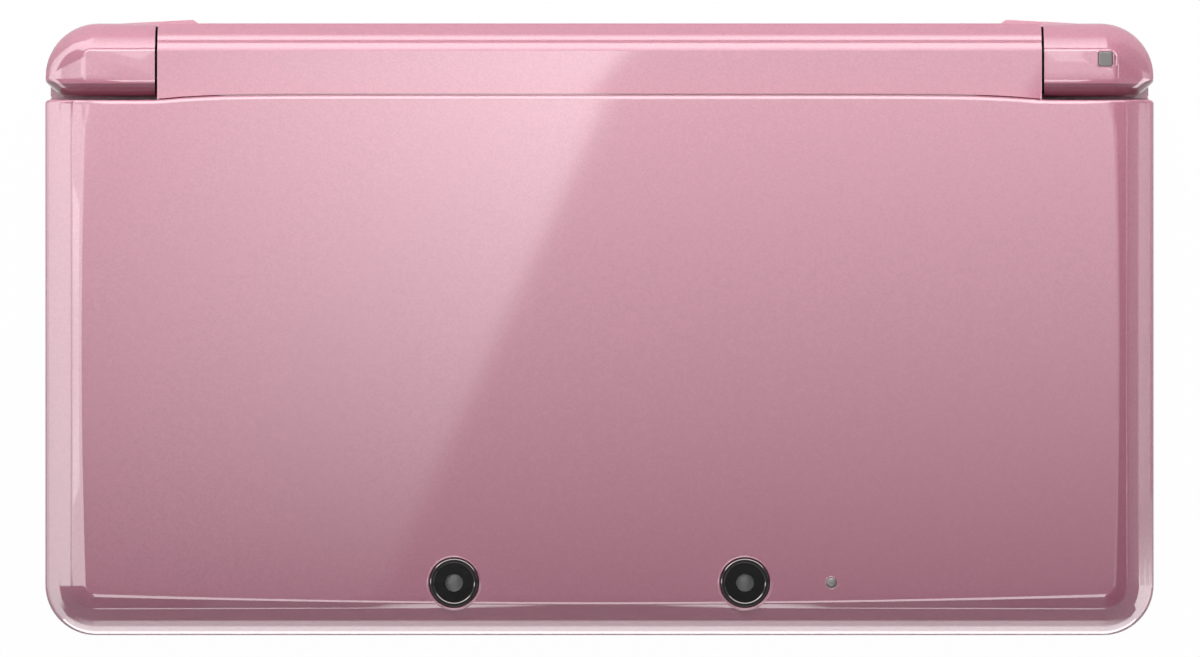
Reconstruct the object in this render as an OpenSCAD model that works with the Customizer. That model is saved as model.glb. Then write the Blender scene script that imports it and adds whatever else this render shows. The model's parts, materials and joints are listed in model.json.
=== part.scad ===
// Clamshell handheld game console, closed and lying flat with its hinge at the back.
// X runs across the width, Y from the front edge to the hinge, Z up from the table.

/* [Body] */
// Width over both halves
body_w = 134; // [132:0.5:138]
// Depth from the front edge to the back of the hinge
body_d = 74; // [74:0.5:77]
// Plan radius of the front corners
corner_r = 6.1; // [5.4:0.1:7]
// Plan radius of the rear corners of the base
rear_r = 6.2; // [5.6:0.1:6.6]

/* [Base] */
// Thickness of the bottom cover and its side walls
cover_t = 1.2; // [1:0.1:1.4]
// Thickness of the housing floor
floor_t = 0.8; // [0.6:0.1:1]
// Height of the bay for the cards, stylus and battery
bay_h = 4.8; // [4.8:0.1:5.6]
// Thickness of the main board
board_t = 0.6; // [0.6:0.1:1]
// Thickness of the touch display
touch_display_t = 1; // [0.9:0.1:1.3]
// Thickness of the touch lens
lens_t = 1; // [0.8:0.1:1.2]
// Thickness of the faceplate
plate_t = 1.5; // [1.3:0.1:1.8]
// Width of the faceplate on each side of the touch lens
touch_side = 36; // [35.5:0.5:38]
// Depth of the faceplate in front of the touch lens
touch_front = 12.8; // [12.5:0.1:14]
// Depth of the solid block behind the bays that carries the slots
block_d = 14.2; // [14:0.1:15]

/* [Lid] */
// Gap between the faceplate and the screen bezel
lid_gap = 0.9; // [0.8:0.05:1.2]
// Thickness of the screen bezel
bezel_t = 1.6; // [1.4:0.1:1.8]
// Height of the lid frame
frame_h = 3.8; // [3.6:0.1:4.4]
// Height of the lid panel over the frame
panel_h = 3.65; // [3.4:0.05:4]
// How far the flat top is set in from the lid's sides and front
bevel_in = 4.8; // [4.4:0.1:5.4]
// How far the front crease bows towards the front in its middle
crease_bow = 1; // [0:0.1:1.2]
// How far each side crease bows outwards in its middle
side_bow = 0.5; // [0:0.1:0.7]
// Width of the strip beside the upper display that holds a speaker
display_side = 27.5; // [27:0.5:30]
// Depth of the strip in front of the upper display that holds the cameras
display_front = 12.3; // [12.3:0.1:14]
// Depth of the strip behind the upper display
display_behind = 4.4; // [4.4:0.1:6]

/* [Cameras] */
// Distance between the two outer cameras
camera_pitch = 35.1; // [33:0.1:37]
// Distance of the cameras from the front edge
camera_in = 6.4; // [6.2:0.1:6.8]
// Outer diameter of a camera ring
camera_ring_d = 6.3; // [6:0.1:6.6]
// Diameter of a camera window
camera_window_d = 5.15; // [5:0.05:5.3]
// How far the rings stand out of the lid
ring_proud = 0.15; // [0.1:0.05:0.3]
// Diameter of the camera light
camera_light_d = 1.6; // [1.4:0.1:2]

/* [Hinge] */
// Distance of the hinge axis from the back
axis_in = 4.7; // [4.6:0.05:4.9]
// Height of the hinge axis over the faceplate
axis_up = 3.9; // [3.8:0.05:4.1]
// Width of each end knuckle
knuckle_w = 13.3; // [12.8:0.1:13.8]
// Gap between a knuckle and the barrel
knuckle_gap = 0.3; // [0.2:0.05:0.4]
// Radius of the trough that the barrel turns in
trough_r = 5.4; // [5.35:0.05:5.5]
// Diameter of the hinge shaft
shaft_d = 4; // [3.6:0.1:4.2]
// Outer diameter of the hinge unit and the bush
hinge_unit_d = 7; // [6.6:0.1:7.2]
// Inner diameter of the bush
bush_bore_d = 4.8; // [4.4:0.1:5]
// Radial play of a turning or sliding fit
fit = 0.05; // [0.03:0.01:0.08]

/* [Controls] */
// Diameter of a face button
button_d = 7.6; // [7.2:0.1:7.8]
// Distance of a face button from the middle of its group
button_spread = 7.8; // [7.6:0.1:8]
// Play around buttons and keys
key_gap = 0.15; // [0.1:0.05:0.2]
// Travel of a face button
button_travel = 0.6; // [0.4:0.05:0.6]
// Travel of a small key
key_travel = 0.3; // [0.2:0.05:0.4]
// Span of the cross pad
dpad_span = 21; // [20:0.5:22]
// Width of a cross pad arm
dpad_arm = 7; // [6.6:0.1:7.4]
// Diameter of the slide pad cap
pad_d = 18; // [17:0.5:18]
// Diameter of the recess around the slide pad cap
pad_recess_d = 25; // [25:0.5:26]
// Travel of the slide pad to each side
pad_travel = 2.4; // [2:0.1:2.4]
// How far the shoulder buttons stand out of the back
shoulder_proud = 0.6; // [0.5:0.1:0.8]
// Height of a shoulder button
shoulder_h = 4.6; // [4.2:0.1:4.6]
// Wall thickness of a shoulder button
shoulder_t = 2.2; // [2:0.1:2.3]

/* [Ports] */
// Width of the game card slot
card_w = 33.8; // [33:0.1:34]
// Sheet thickness of the card cages
sheet_t = 0.3; // [0.25:0.05:0.35]
// Width of the memory card slot
sd_w = 24.2; // [24.1:0.1:24.4]
// Height of the memory card slot
sd_h = 2.2; // [2.15:0.05:2.2]
// Diameter of the headphone bore
jack_bore_d = 3.6; // [3.5:0.05:3.7]
// Outer diameter of the stylus
stylus_d = 4.4; // [4:0.1:4.4]
// Height of the stylus and card axis over the housing floor
stylus_up = 2.3; // [2.3:0.05:2.45]

/* [Hidden] */
// Plan: half width, front edge, back face of the hinge, back of the shoulder buttons at the inner end
hw = body_w / 2;
y_front = -(body_d + shoulder_proud) / 2;
y_back = y_front + body_d;
y_tip = y_back + shoulder_proud;

// Height stack of the base
z_bay = cover_t + floor_t;
z_board = z_bay + bay_h;
z_board_top = z_board + board_t;
z_lens = z_board_top + touch_display_t;
z_plate = z_lens + lens_t;
z_face = z_plate + plate_t;
z_cover = 3.4;
z_housing = z_plate - 1.2;

// Height stack of the lid
z_bezel = z_face + lid_gap;
z_frame = z_bezel + bezel_t;
z_web = z_frame + frame_h - 1;
z_panel = z_frame + frame_h;
z_lid = z_panel + panel_h;
z_total = z_lid + ring_proud;

// Hinge line
y_axis = y_back - axis_in;
z_axis = z_face + axis_up;
barrel_half = hw - knuckle_w - knuckle_gap;
knuckle_x = hw - knuckle_w;
barrel_top = 4.9;
y_panel_back = y_axis - 4.6;
y_knuckle_front = y_axis - 4.2;

// Side walls of the two halves
wall = 1.9;
inner_x = hw - wall - 0.5;
inner_front = y_front + wall;
// How far the screen bezel is set in from the lid's sides and front
bezel_in = 1.2;
// Radius of the screw bosses of the lid and of the bottom cover's screws
boss_r = 2.2;
// Rear block of the housing that carries the slots
y_block = y_back - block_d;
// Back edge of the bottom cover
y_cover = y_back - 12.7;
// Side play of the housing tongue inside the bottom cover
tongue_x = hw - 6.8;
tongue_front = y_front + 6.8;
step_x = hw - 8;
step_front = y_front + 7.9;
z_step = z_cover + 0.8;

// Control groups on the faceplate
pad_x = -(hw - 15.5);
pad_y = y_block - 13.5;
dpad_y = pad_y - pad_recess_d / 2 - dpad_span / 2;
button_x = hw - 15.5;
button_y = pad_y;
key_y = y_front + 6.3;
key_w = 13;
key_depth = 3.2;
key_pitch = 14.6;
power_x = hw - 16;
power_y = y_front + 10.3;
power_d = 5.2;

// Windows of the two displays
touch_x = hw - touch_side;
touch_y = y_front + touch_front;
display_x = hw - display_side;
display_y0 = y_front + display_front;
display_y1 = y_panel_back - display_behind;
display_rim = 2.5;
// Speakers and the slots over them
speaker_x = hw - 13;
speaker_y = (display_y0 + display_y1) / 2;
speaker_w = 11;
speaker_d = 16;
slot_w = 8;
slot_d = 0.9;
slot_pitch = 2.2;

// Game card: depth of its cage and of the room for the card
cage_d = 36.2;
card_d = 33.2;
cage_in = 0.4;

// Memory card socket behind the left wall, its side play, its inner end and the room for the card
sd_y1 = y_block + 1.7;
sd_side = 0.3;
sd_y0 = sd_y1 - sd_w - 2 * sd_side;
sd_end = -hw + 34.8;
sd_z0 = z_step - 0.35;
door_pin_y = sd_y1 - 0.7;
door_pin_x = -hw + 0.8;
door_pin_r = 0.5;

// Cameras and the height of a ring
camera_y = y_front + camera_in;
ring_h = 2.1;
camera_light_x = 28;
camera_light_proud = 0.08;

// Stylus
stylus_x = card_w / 2 + 7.1;
stylus_z = z_bay + stylus_up;
stylus_front = y_front + 8.7;
rod_r = stylus_d / 2 - 0.6;
// Cone, collar and telescoping rod of the stylus
tip_l = 3;
y_collar = stylus_front + 0.4 + tip_l;
collar_l = 3;
rod_l = 34.2;
// Finger notch under the end of the stylus
notch_w = 6;
notch_d = 1.2;

// Screws: shank, head and head thickness
screw_r = 0.8;
screw_head_r = 1.5;
screw_head_t = 0.7;
cover_screws = [[-card_w / 2 - 7.7, y_block - 2.5], [hw - 23, y_block - 2.5]];
board_screws = [[hw - 11, y_front + 13.3], [touch_x + 5, y_block - 16.5]];
plate_screws = [for (side = [-1, 1]) [side * (hw - 6.5), y_front + 6.5]];
lid_posts = [for (side = [-1, 1]) for (y = [y_front + 6, y_panel_back - 6]) [side * (hw - 6), y]];

// Headphone jack: axis height, shared with the side switches, radius of its nose, width and ends
jack_z = z_bay + 3.2;
jack_nose_r = 2.4;
jack_w = 7.2;
jack_y0 = y_front + 5;
jack_y1 = y_front + 15.5;
// Power lights: left edge of the first, width, spacing and height
light_x = hw - 13;
light_w = 1.2;
light_pitch = 3;
light_h = 2.4;
// Notification light: middle, width and corner radius
note_x = hw - 5.9;
note_y = y_axis + 0.3;
note_w = 1.8;
note_r = 0.35;
// Hinge: length of its unit, of the bush in the barrel, and of the seats in the knuckles
unit_l = 14;
bush_l = 9;
bush_seat = 6.3;
shaft_seat = 6.5;
// Right shoulder button: inner end and pivot
shoulder_x = hw - 18.5;
pivot_x = shoulder_x - 1.3;
pivot_y = y_back - 1.7;
pivot_r = 0.8;
// Knobs of the side switches and the depth slider, and the ends of their grooves
volume_y = [-25, -22.5, -17.5, -15];
wireless_switch_y = [-25, -24.8, -21, -18];
depth_y = [-17, -7.9, -2.9, -2];
knob_h = 1.7;
// Underside of a face button, of the slide pad box and of its carriages
button_z = z_plate - 0.8;
z_pad = z_board - 0.45;
// Height of the cross pad's rocking axes
z_rock = z_board_top + 0.95;
// Charging port: middle, width, height and depth of its shell
port_x = -card_w / 2 - 10.1;
port_w = 12;
port_h = 4.4;
port_d = 6;
// Infrared window: its two ends, thickness and height
ir_x0 = hw - 32;
ir_x1 = hw - 23;
ir_t = 1.4;
ir_h = 3.8;
// Slide pad: half width of its box, hole for the stem, carriages and stem
pad_box = 12;
pad_hole_r = 5.6;
carriage_w = 6.8;
carriage_l = 16.4;
carriage_t = 0.7;
stem_r = 1.2;
// Distance of a contact dome and dimple from the middle of the cross pad
dpad_spread = dpad_span / 2 - 3.2;
// Middle of the wireless module
wireless_y = y_front + 25.8;

pearl = [0.86, 0.66, 0.74];
dark = [0.1, 0.1, 0.11];
metal = [0.75, 0.75, 0.77];

// Box between two corners
module span(a, b) {
    translate(a) cube(b - a);
}

// Rounded plan outline: front corner radius rf, rear corner radius rb
module plan(half, y0, y1, rf, rb) {
    translate([-half + rf, y0]) square([2 * (half - rf), (y1 - y0) / 2]);
    translate([-half, y0 + rf]) square([2 * half, y1 - y0 - rf - rb]);
    translate([-half + rb, (y0 + y1) / 2]) square([2 * (half - rb), (y1 - y0) / 2]);
    for (side = [-1, 1]) {
        translate([side * (half - rf), y0 + rf]) circle(rf, $fn = 48);
        translate([side * (half - rb), y1 - rb]) circle(rb, $fn = 48);
    }
}

// Flat plate with a rounded plan between two heights
module slab(half, y0, y1, z0, z1, rf, rb) {
    translate([0, 0, z0]) linear_extrude(z1 - z0) plan(half, y0, y1, rf, rb);
}

// Points of a corner arc
function arc(cx, cy, r, from, to, n) =
    [for (i = [0:n]) [cx + r * cos(from + (to - from) * i / n), cy + r * sin(from + (to - from) * i / n)]];

// Shares of an edge's half length at which its bow is drawn
stations = [-0.75:0.25:0.75];

// Outline set in from the plan on its sides and front. bow is how far the front edge
// and the sides swell outwards in their middles
function outline(in, y1, rb, bow) = let (
    r = max(corner_r - in, 0.8),
    x = hw - in,
    y = y_front + in,
    middle = (y + r + y1 - rb) / 2,
    reach = (y1 - rb - y - r) / 2
) concat(
    arc(-x + r, y + r, r, 180, 270, 6),
    [for (t = stations) [t * (x - r), y - bow[0] * (1 - t * t)]],
    arc(x - r, y + r, r, 270, 360, 6),
    [for (t = stations) [x + bow[1] * (1 - t * t), middle + t * reach]],
    arc(x - rb, y1 - rb, rb, 0, 90, 6),
    arc(-x + rb, y1 - rb, rb, 90, 180, 6),
    [for (t = stations) [-x - bow[1] * (1 - t * t), middle - t * reach]]
);

// Tapered body over a list of [inset, height]. bow swells its last outline
module tapered(steps, y1, rb, bow = [0, 0]) {
    last = len(steps) - 1;
    hull() for (i = [0:last]) translate([0, 0, steps[i][1]]) linear_extrude(0.01)
        polygon(outline(steps[i][0], y1, rb, i == last ? bow : [0, 0]));
}

// Cylinder along X from x0 to x1 at height z
module rod_x(x0, x1, y, z, r) {
    translate([x0, y, z]) rotate([0, 90, 0]) cylinder(h = x1 - x0, r = r, $fn = 48);
}

// Cylinder along Y from y0 to y1 at height z
module rod_y(y0, y1, x, z, r) {
    translate([x, y1, z]) rotate([90, 0, 0]) cylinder(h = y1 - y0, r = r, $fn = 48);
}

// Upright cylinder between two heights
module post(x, y, z0, z1, r) {
    translate([x, y, z0]) cylinder(h = z1 - z0, r = r, $fn = 48);
}

// Upright bar with a rounded square section
module rounded_post(x, y, width, r, z0, z1) {
    a = width / 2 - r;
    translate([x, y, z0]) linear_extrude(z1 - z0) {
        square([width, 2 * a], center = true);
        square([2 * a, width], center = true);
        for (i = [-1, 1]) for (j = [-1, 1]) translate([i * a, j * a]) circle(r, $fn = 24);
    }
}

// Profile in Y and Z drawn out along X
module along_x(x0, x1) {
    translate([x0, 0, 0]) rotate([90, 0, 90]) linear_extrude(x1 - x0) children();
}

// Profile in X and Z drawn out along Y
module along_y(y0, y1) {
    translate([0, y1, 0]) rotate([90, 0, 0]) linear_extrude(y1 - y0) children();
}

// Copies the right-hand child to the left
module both_sides() {
    children();
    mirror([1, 0, 0]) children();
}

// Room that the knuckles leave for the lid while it turns
module turning_room(r, x0, x1) {
    rod_x(x0, x1, y_axis, z_axis, r);
}

// Screw with its head at z_head and its tip at z_tip
module screw(x, y, z_head, z_neck, z_tip) {
    post(x, y, min(z_head, z_neck), max(z_head, z_neck), screw_head_r);
    post(x, y, min(z_neck, z_tip), max(z_neck, z_tip), screw_r);
}

// Outer form of the lid panel
module lid_outer() {
    tapered([
        [0, z_panel],
        [0, z_panel + 0.3],
        [0.8, z_panel + 1.2],
        [1.85, z_lid - 1.35],
        [3.3, z_lid - 0.32],
        [bevel_in, z_lid - 0.01]
    ], y_panel_back, 0.5, [crease_bow, side_bow]);
}

module lid_panel() {
    color(pearl) difference() {
        lid_outer();
        // Hollow underside
        span([-hw + 6, y_front + 6, z_panel - 1], [hw - 6, y_panel_back - 4, z_lid - 1.4]);
        // Seats of the rings and the camera light
        for (side = [-1, 1])
            post(side * camera_pitch / 2, camera_y, z_panel - 1, z_total + 1, camera_ring_d / 2);
        post(camera_light_x, camera_y, z_panel - 1, z_total + 1, camera_light_d / 2);
        // Clear of the knuckles while the lid turns
        both_sides() turning_room(trough_r, barrel_half, hw + 1);
    }
}

// Section of the barrel: round underneath, flat on top with a slope to the back
module barrel_section() {
    intersection() {
        union() {
            translate([y_axis, z_axis]) circle(axis_in, $fn = 64);
            polygon([
                [y_panel_back - 1.2, z_frame],
                [y_axis - 2, z_frame],
                [y_axis, z_axis],
                [y_back, z_axis],
                [y_back, z_axis + 1.6],
                [y_axis + 1.3, z_axis + barrel_top],
                [y_panel_back, z_axis + barrel_top],
                [y_panel_back, z_panel],
                [y_panel_back - 1.2, z_panel]
            ]);
        }
        translate([y_panel_back - 2, 0]) square([y_back - y_panel_back + 2, 30]);
    }
}

module lid_frame() {
    color(pearl) difference() {
        union() {
            difference() {
                slab(hw, y_front, y_panel_back, z_frame, z_panel, corner_r, 0.5);
                // Bay for the display, speakers and boards
                slab(hw - wall, y_front + wall, y_panel_back - 2.2, z_frame - 1, z_web, corner_r - wall, 1);
            }
            along_x(-barrel_half, barrel_half) barrel_section();
            for (p = lid_posts) {
                post(p[0], p[1], z_frame, z_web, boss_r);
                // Rib between the boss and the side wall
                span([min(p[0], sign(p[0]) * (hw - 1)), p[1] - 0.5, z_frame + 0.4],
                    [max(p[0], sign(p[0]) * (hw - 1)), p[1] + 0.5, z_web]);
            }
        }
        // Opening for the camera board
        span([-camera_pitch / 2 - 4, y_front + 3.2, z_web - 1],
            [camera_pitch / 2 + 4, y_front + 9.6, z_panel + 1]);
        post(camera_light_x, camera_y, z_web - 1, z_panel + 1, camera_light_d / 2);
        // Bores in the barrel ends
        rod_x(barrel_half - unit_l, barrel_half + 1, y_axis, z_axis, hinge_unit_d / 2);
        rod_x(-barrel_half - 1, -barrel_half + bush_l + 1, y_axis, z_axis, hinge_unit_d / 2 + fit);
        rod_x(-barrel_half - 1, -barrel_half + bush_l + 7, y_axis, z_axis, bush_bore_d / 2);
        for (p = lid_posts) post(p[0], p[1], z_frame - 1, z_web - 0.2, screw_r);
        // Clear of the knuckles while the lid turns
        both_sides() turning_room(trough_r, barrel_half, hw + 1);
        // Recess of the depth slider
        span([hw - 1, depth_y[0], z_frame + 0.7], [hw + 1, depth_y[3], z_panel - 0.7]);
        span([hw - wall - 1, depth_y[0] + 2, z_frame + 1.2], [hw, depth_y[3] - 2.9, z_panel - 1.2]);
    }
}

module screen_bezel() {
    color(dark) difference() {
        slab(hw - bezel_in, y_front + bezel_in, y_panel_back - bezel_in,
            z_bezel, z_frame, corner_r - bezel_in, 0.8);
        // Window of the upper display
        span([-display_x, display_y0, z_bezel - 1], [display_x, display_y1, z_frame + 1]);
        // Speaker slots
        both_sides() for (i = [-2:2]) translate([speaker_x, speaker_y + i * slot_pitch, 0])
            span([-slot_w / 2, -slot_d / 2, z_bezel - 1], [slot_w / 2, slot_d / 2, z_frame + 1]);
        // Inner camera
        post(0, camera_y, z_bezel - 1, z_frame + 1, 2.3);
        // Lid screws
        for (p = lid_posts) {
            post(p[0], p[1], z_bezel - 1, z_bezel + 0.9, screw_head_r);
            post(p[0], p[1], z_bezel - 1, z_frame + 1, screw_r);
        }
        // Clear of the knuckles while the lid turns
        both_sides() turning_room(trough_r, barrel_half, hw + 1);
    }
}

module upper_display() {
    color([0.03, 0.03, 0.04]) {
        span([-display_x - display_rim, display_y0 - 1.5, z_frame],
            [display_x + display_rim, display_y1 + 1.5, z_web]);
        span([-display_x, display_y0, z_bezel + 0.15], [display_x, display_y1, z_frame]);
    }
}

module speaker(side) {
    color(dark) translate([side * speaker_x, speaker_y, 0]) difference() {
        span([-speaker_w / 2, -speaker_d / 2, z_frame], [speaker_w / 2, speaker_d / 2, z_web]);
        span([1 - speaker_w / 2, 1.5 - speaker_d / 2, z_frame - 1],
            [speaker_w / 2 - 1, speaker_d / 2 - 1.5, z_frame + 0.8]);
    }
}
module speaker_left() {
    speaker(-1);
}
module speaker_right() {
    speaker(1);
}

module camera_ring(side) {
    translate([side * camera_pitch / 2, camera_y, z_total - ring_h]) color(dark) rotate_extrude($fn = 96)
        polygon([
            [camera_window_d / 2, 0],
            [camera_ring_d / 2, 0],
            [camera_ring_d / 2, ring_h - 0.15],
            [camera_ring_d / 2 - 0.15, ring_h],
            [camera_window_d / 2 + 0.12, ring_h],
            [camera_window_d / 2, ring_h - 0.1]
        ]);
}
module camera_ring_left() {
    camera_ring(-1);
}
module camera_ring_right() {
    camera_ring(1);
}

module camera_window(side) {
    color([0.02, 0.02, 0.03])
        post(side * camera_pitch / 2, camera_y, z_total - 0.85, z_total - 0.25, camera_window_d / 2);
}
module camera_window_left() {
    camera_window(-1);
}
module camera_window_right() {
    camera_window(1);
}

module camera_module() {
    z0 = z_frame + 1;
    x = camera_pitch / 2;
    color([0.15, 0.3, 0.2]) {
        span([-x - 3.4, y_front + 3.6, z0], [x + 3.4, y_front + 9.2, z0 + 0.6]);
        for (side = [-1, 1]) {
            post(side * x, camera_y, z0 + 0.6, z_total - 0.85, camera_window_d / 2 - 0.2);
        }
        post(0, camera_y, z_bezel + 0.15, z0, 2.1);
    }
}

module camera_light() {
    color([0.7, 0.7, 0.72])
        post(camera_light_x, camera_y, z_web, z_lid + camera_light_proud, camera_light_d / 2);
}

module bezel_bumpers() {
    color([0.06, 0.06, 0.07]) for (p = lid_posts) post(p[0], p[1], z_face + 0.05, z_bezel, boss_r);
}

module lid_screws() {
    color(metal) for (p = lid_posts)
        screw(p[0], p[1], z_bezel + 0.9 - screw_head_t, z_bezel + 0.9, z_web - 0.4);
}

module hinge_unit() {
    color(metal) difference() {
        rod_x(barrel_half - unit_l, barrel_half - 0.1, y_axis, z_axis, hinge_unit_d / 2);
        rod_x(barrel_half - unit_l - 1, barrel_half + 1, y_axis, z_axis, shaft_d / 2 + fit);
    }
}

module depth_slider() {
    color(dark) {
        span([hw - 0.95, depth_y[1], z_frame + 0.85], [hw - 0.1, depth_y[2], z_panel - 0.85]);
        span([hw - wall - 0.6, depth_y[1] + 1.4, z_frame + 1.25],
            [hw - 0.95, depth_y[2] - 2.15, z_panel - 1.25]);
    }
}

// Outer form of the bottom cover and of the housing strip behind it
module base_bottom(in = 0) {
    tapered([
        [5.5 + in, in],
        [4.2 + in, 0.6 + in],
        [1.6 + in, z_cover + in]
    ], y_back, rear_r);
}

// Outer form of the housing walls
module base_middle() {
    tapered([
        [1.6, z_cover],
        [0.5, z_cover + 2.2],
        [0.3, z_housing]
    ], y_back, rear_r);
}

module bottom_cover() {
    color(pearl) difference() {
        intersection() {
            base_bottom();
            span([-hw, y_front - 1, -1], [hw, y_cover, z_cover]);
        }
        // Hollow inside
        intersection() {
            base_bottom(cover_t);
            span([-hw, y_front - 1, 0], [hw, y_cover + 1, z_cover + 1]);
        }
        // Screw holes
        for (p = cover_screws) {
            post(p[0], p[1], -1, 0.9, screw_head_r);
            post(p[0], p[1], -1, 3, screw_r);
        }
        rod_y(y_front - 1, y_front + 6, 0, jack_z, jack_nose_r + 0.03);
    }
}

// Section of the rear rim between faceplate and back wall
module rim_section() {
    polygon([
        [y_knuckle_front, z_housing - 0.4],
        [y_back - 0.4, z_housing - 0.4],
        [y_back, z_housing],
        [y_back, z_face],
        [y_back - 2, z_face + 0.6],
        [y_knuckle_front, z_face]
    ]);
}

// Space swept by a right shoulder button
module shoulder_pocket() {
    translate([0, 0, z_cover + 0.9]) linear_extrude(shoulder_h + 0.3) polygon([
        [hw - 21.4, y_back + 2],
        [hw - 21.4, y_back - 3.5],
        [hw - 17.6, y_back - 3.5],
        [hw - 17.6, y_back - 2.5],
        [hw - 6.5, y_back - 3.9],
        [hw - 4, y_back - 6.4],
        [hw - 3.7, y_back - 10],
        [hw + 1, y_back - 10],
        [hw + 1, y_back + 2]
    ]);
}

module lower_housing() {
    color(pearl) difference() {
        union() {
            intersection() {
                base_middle();
                span([-hw, y_front - 1, z_cover], [hw, y_back + 1, z_housing]);
            }
            // Strip behind the bottom cover
            intersection() {
                base_bottom();
                span([-hw, y_cover, -1], [hw, y_back + 1, z_cover]);
            }
            // Tongue inside the bottom cover
            span([-tongue_x, tongue_front, cover_t], [tongue_x, y_cover + 1, z_cover + 0.2]);
            // Rear rim with the trough and the seats of the knuckles
            along_x(-knuckle_x, knuckle_x) rim_section();
            both_sides() intersection() {
                span([knuckle_x, y_knuckle_front, z_housing - 0.4], [hw, y_back, z_housing + 1.1]);
                slab(hw - 0.4, y_front, y_back, z_housing - 0.4, z_plate, corner_r, rear_r);
            }
        }
        // Main bay
        difference() {
            union() {
                span([-inner_x, inner_front, z_step], [inner_x, y_block, z_plate]);
                span([-step_x, step_front, z_bay], [step_x, y_block, z_step + 1]);
            }
            // Channel of the stylus
            span([stylus_x - 3, stylus_front - 1, 0], [stylus_x + 3, y_block + 1, z_board]);
            // Posts
            for (p = cover_screws) post(p[0], p[1], 0, z_board, boss_r);
            for (p = board_screws) post(p[0], p[1], 0, z_board, 2);
            // Rails under the memory card socket
            for (y = [2.6, 20.6]) translate([0, sd_y0 + y, 0])
                span([-hw + 10, 0, 0], [sd_end - 0.8, 1.5, sd_z0 - 0.25]);
        }
        // Battery bay
        span([-step_x + 0.6, step_front + 0.2, 0], [-4.6, sd_y0 - 0.2, z_bay + 1]);
        // Trough of the barrel
        turning_room(trough_r, -knuckle_x, knuckle_x);
        // Game card slot
        span([-card_w / 2 - sheet_t, y_block - 1, z_bay],
            [card_w / 2 + sheet_t, y_back - cage_in, z_board]);
        span([-card_w / 2, y_block, z_bay + sheet_t], [card_w / 2, y_back + 1, z_board - sheet_t]);
        // Stylus bay
        rod_y(stylus_front, y_back + 1, stylus_x, stylus_z, stylus_d / 2 + fit);
        span([stylus_x - notch_w / 2, y_back - notch_d, -1],
            [stylus_x + notch_w / 2, y_back + 1, stylus_z]);
        // Charging port
        span([port_x - port_w / 2 - fit, y_back - port_d, z_bay + 0.6],
            [port_x + port_w / 2 + fit, y_back + 1, z_bay + 0.6 + port_h + fit]);
        // Infrared window
        span([ir_x0, y_back - ir_t, z_bay + 2.2], [ir_x1, y_back + 1, z_bay + 2.2 + ir_h]);
        // Memory card slot
        span([-inner_x, sd_y0 - 0.2, sd_z0 - 0.25], [sd_end + 0.2, sd_y1 + 0.1, z_step + 2.2]);
        span([-hw - 1, sd_y0 + sd_side, sd_z0], [-inner_x + 1, sd_y1 - sd_side, sd_z0 + sd_h]);
        span([-hw - 1, sd_y0, z_cover + 0.4], [-hw + 1.95, sd_y1 + 0.2, z_housing + 1]);
        // Shoulder buttons and their pivots
        both_sides() {
            shoulder_pocket();
            post(pivot_x, pivot_y, z_cover + 0.1, z_housing, pivot_r + fit);
        }
        // Headphone jack
        span([-jack_w / 2 - 0.1, jack_y0 - 0.1, z_bay + 0.8],
            [jack_w / 2 + 0.1, jack_y1 + 0.4, z_plate]);
        rod_y(y_front - 1, y_front + 8, 0, jack_z, jack_nose_r + 0.03);
        // Volume slider and wireless switch
        span([-hw - 1, volume_y[0], jack_z - 0.05], [-inner_x + 1, volume_y[3], jack_z + knob_h + 0.05]);
        span([inner_x - 1, wireless_switch_y[0], jack_z - 0.05],
            [hw + 1, wireless_switch_y[3], jack_z + knob_h + 0.05]);
        // Screws
        for (p = cover_screws) post(p[0], p[1], 0, z_board - 0.6, screw_r);
        for (p = board_screws) post(p[0], p[1], z_bay + 1, z_board + 1, screw_r);
        for (p = plate_screws) {
            post(p[0], p[1], 0, z_cover, screw_head_r + 0.2);
            post(p[0], p[1], 0, z_step + 1, screw_r);
        }
    }
}

module control_faceplate() {
    color(pearl) difference() {
        union() {
            slab(hw - 0.3, y_front + 0.3, y_knuckle_front, z_housing, z_face - 0.5, corner_r - 0.3, 0.3);
            slab(hw - 0.8, y_front + 0.8, y_knuckle_front, z_face - 0.5, z_face, corner_r - 0.8, 0.3);
        }
        // Hollow underside
        difference() {
            slab(inner_x, inner_front, y_block, z_housing - 1, z_plate, corner_r - 1.9, 1);
            post(pad_x, pad_y, z_face - 2, z_face, pad_recess_d / 2 + 0.7);
            for (p = plate_screws) post(p[0], p[1], 0, z_face, 1.8);
        }
        // Recess and hole of the slide pad
        post(pad_x, pad_y, z_face - 1, z_face + 1, pad_recess_d / 2);
        post(pad_x, pad_y, 0, z_face + 1, pad_hole_r);
        // Window of the touch lens
        span([-touch_x, touch_y, 0], [touch_x, y_block, z_face + 1]);
        // Cross pad
        translate([pad_x, dpad_y, 0]) for (turn = [0, 90]) rotate(turn)
            span([-dpad_span / 2 - 0.3, -dpad_arm / 2 - 0.3, 0],
                [dpad_span / 2 + 0.3, dpad_arm / 2 + 0.3, z_face + 1]);
        // Face buttons
        for (turn = [0:90:270]) translate([button_x, button_y, 0]) rotate(turn)
            post(button_spread, 0, 0, z_face + 1, button_d / 2 + key_gap);
        // Small keys
        for (i = [-1:1]) span(
            [i * key_pitch - key_w / 2 - key_gap, key_y - key_depth / 2 - key_gap, 0],
            [i * key_pitch + key_w / 2 + key_gap, key_y + key_depth / 2 + key_gap, z_face + 1]);
        post(power_x, power_y, 0, z_face + 1, power_d / 2 + key_gap);
        // Microphone
        post(key_pitch * 1.5 + 3, key_y, 0, z_face + 1, 0.5);
        // Power lights
        for (i = [0, 1]) translate([light_x + i * light_pitch, y_front, 0])
            span([0, 0, z_face - light_h], [light_w, 3, z_face + 1]);
        // Screws
        for (p = plate_screws) post(p[0], p[1], 0, z_plate - 0.4, screw_r);
        both_sides() shoulder_pocket();
        turning_room(trough_r, -knuckle_x, knuckle_x);
    }
}

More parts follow.
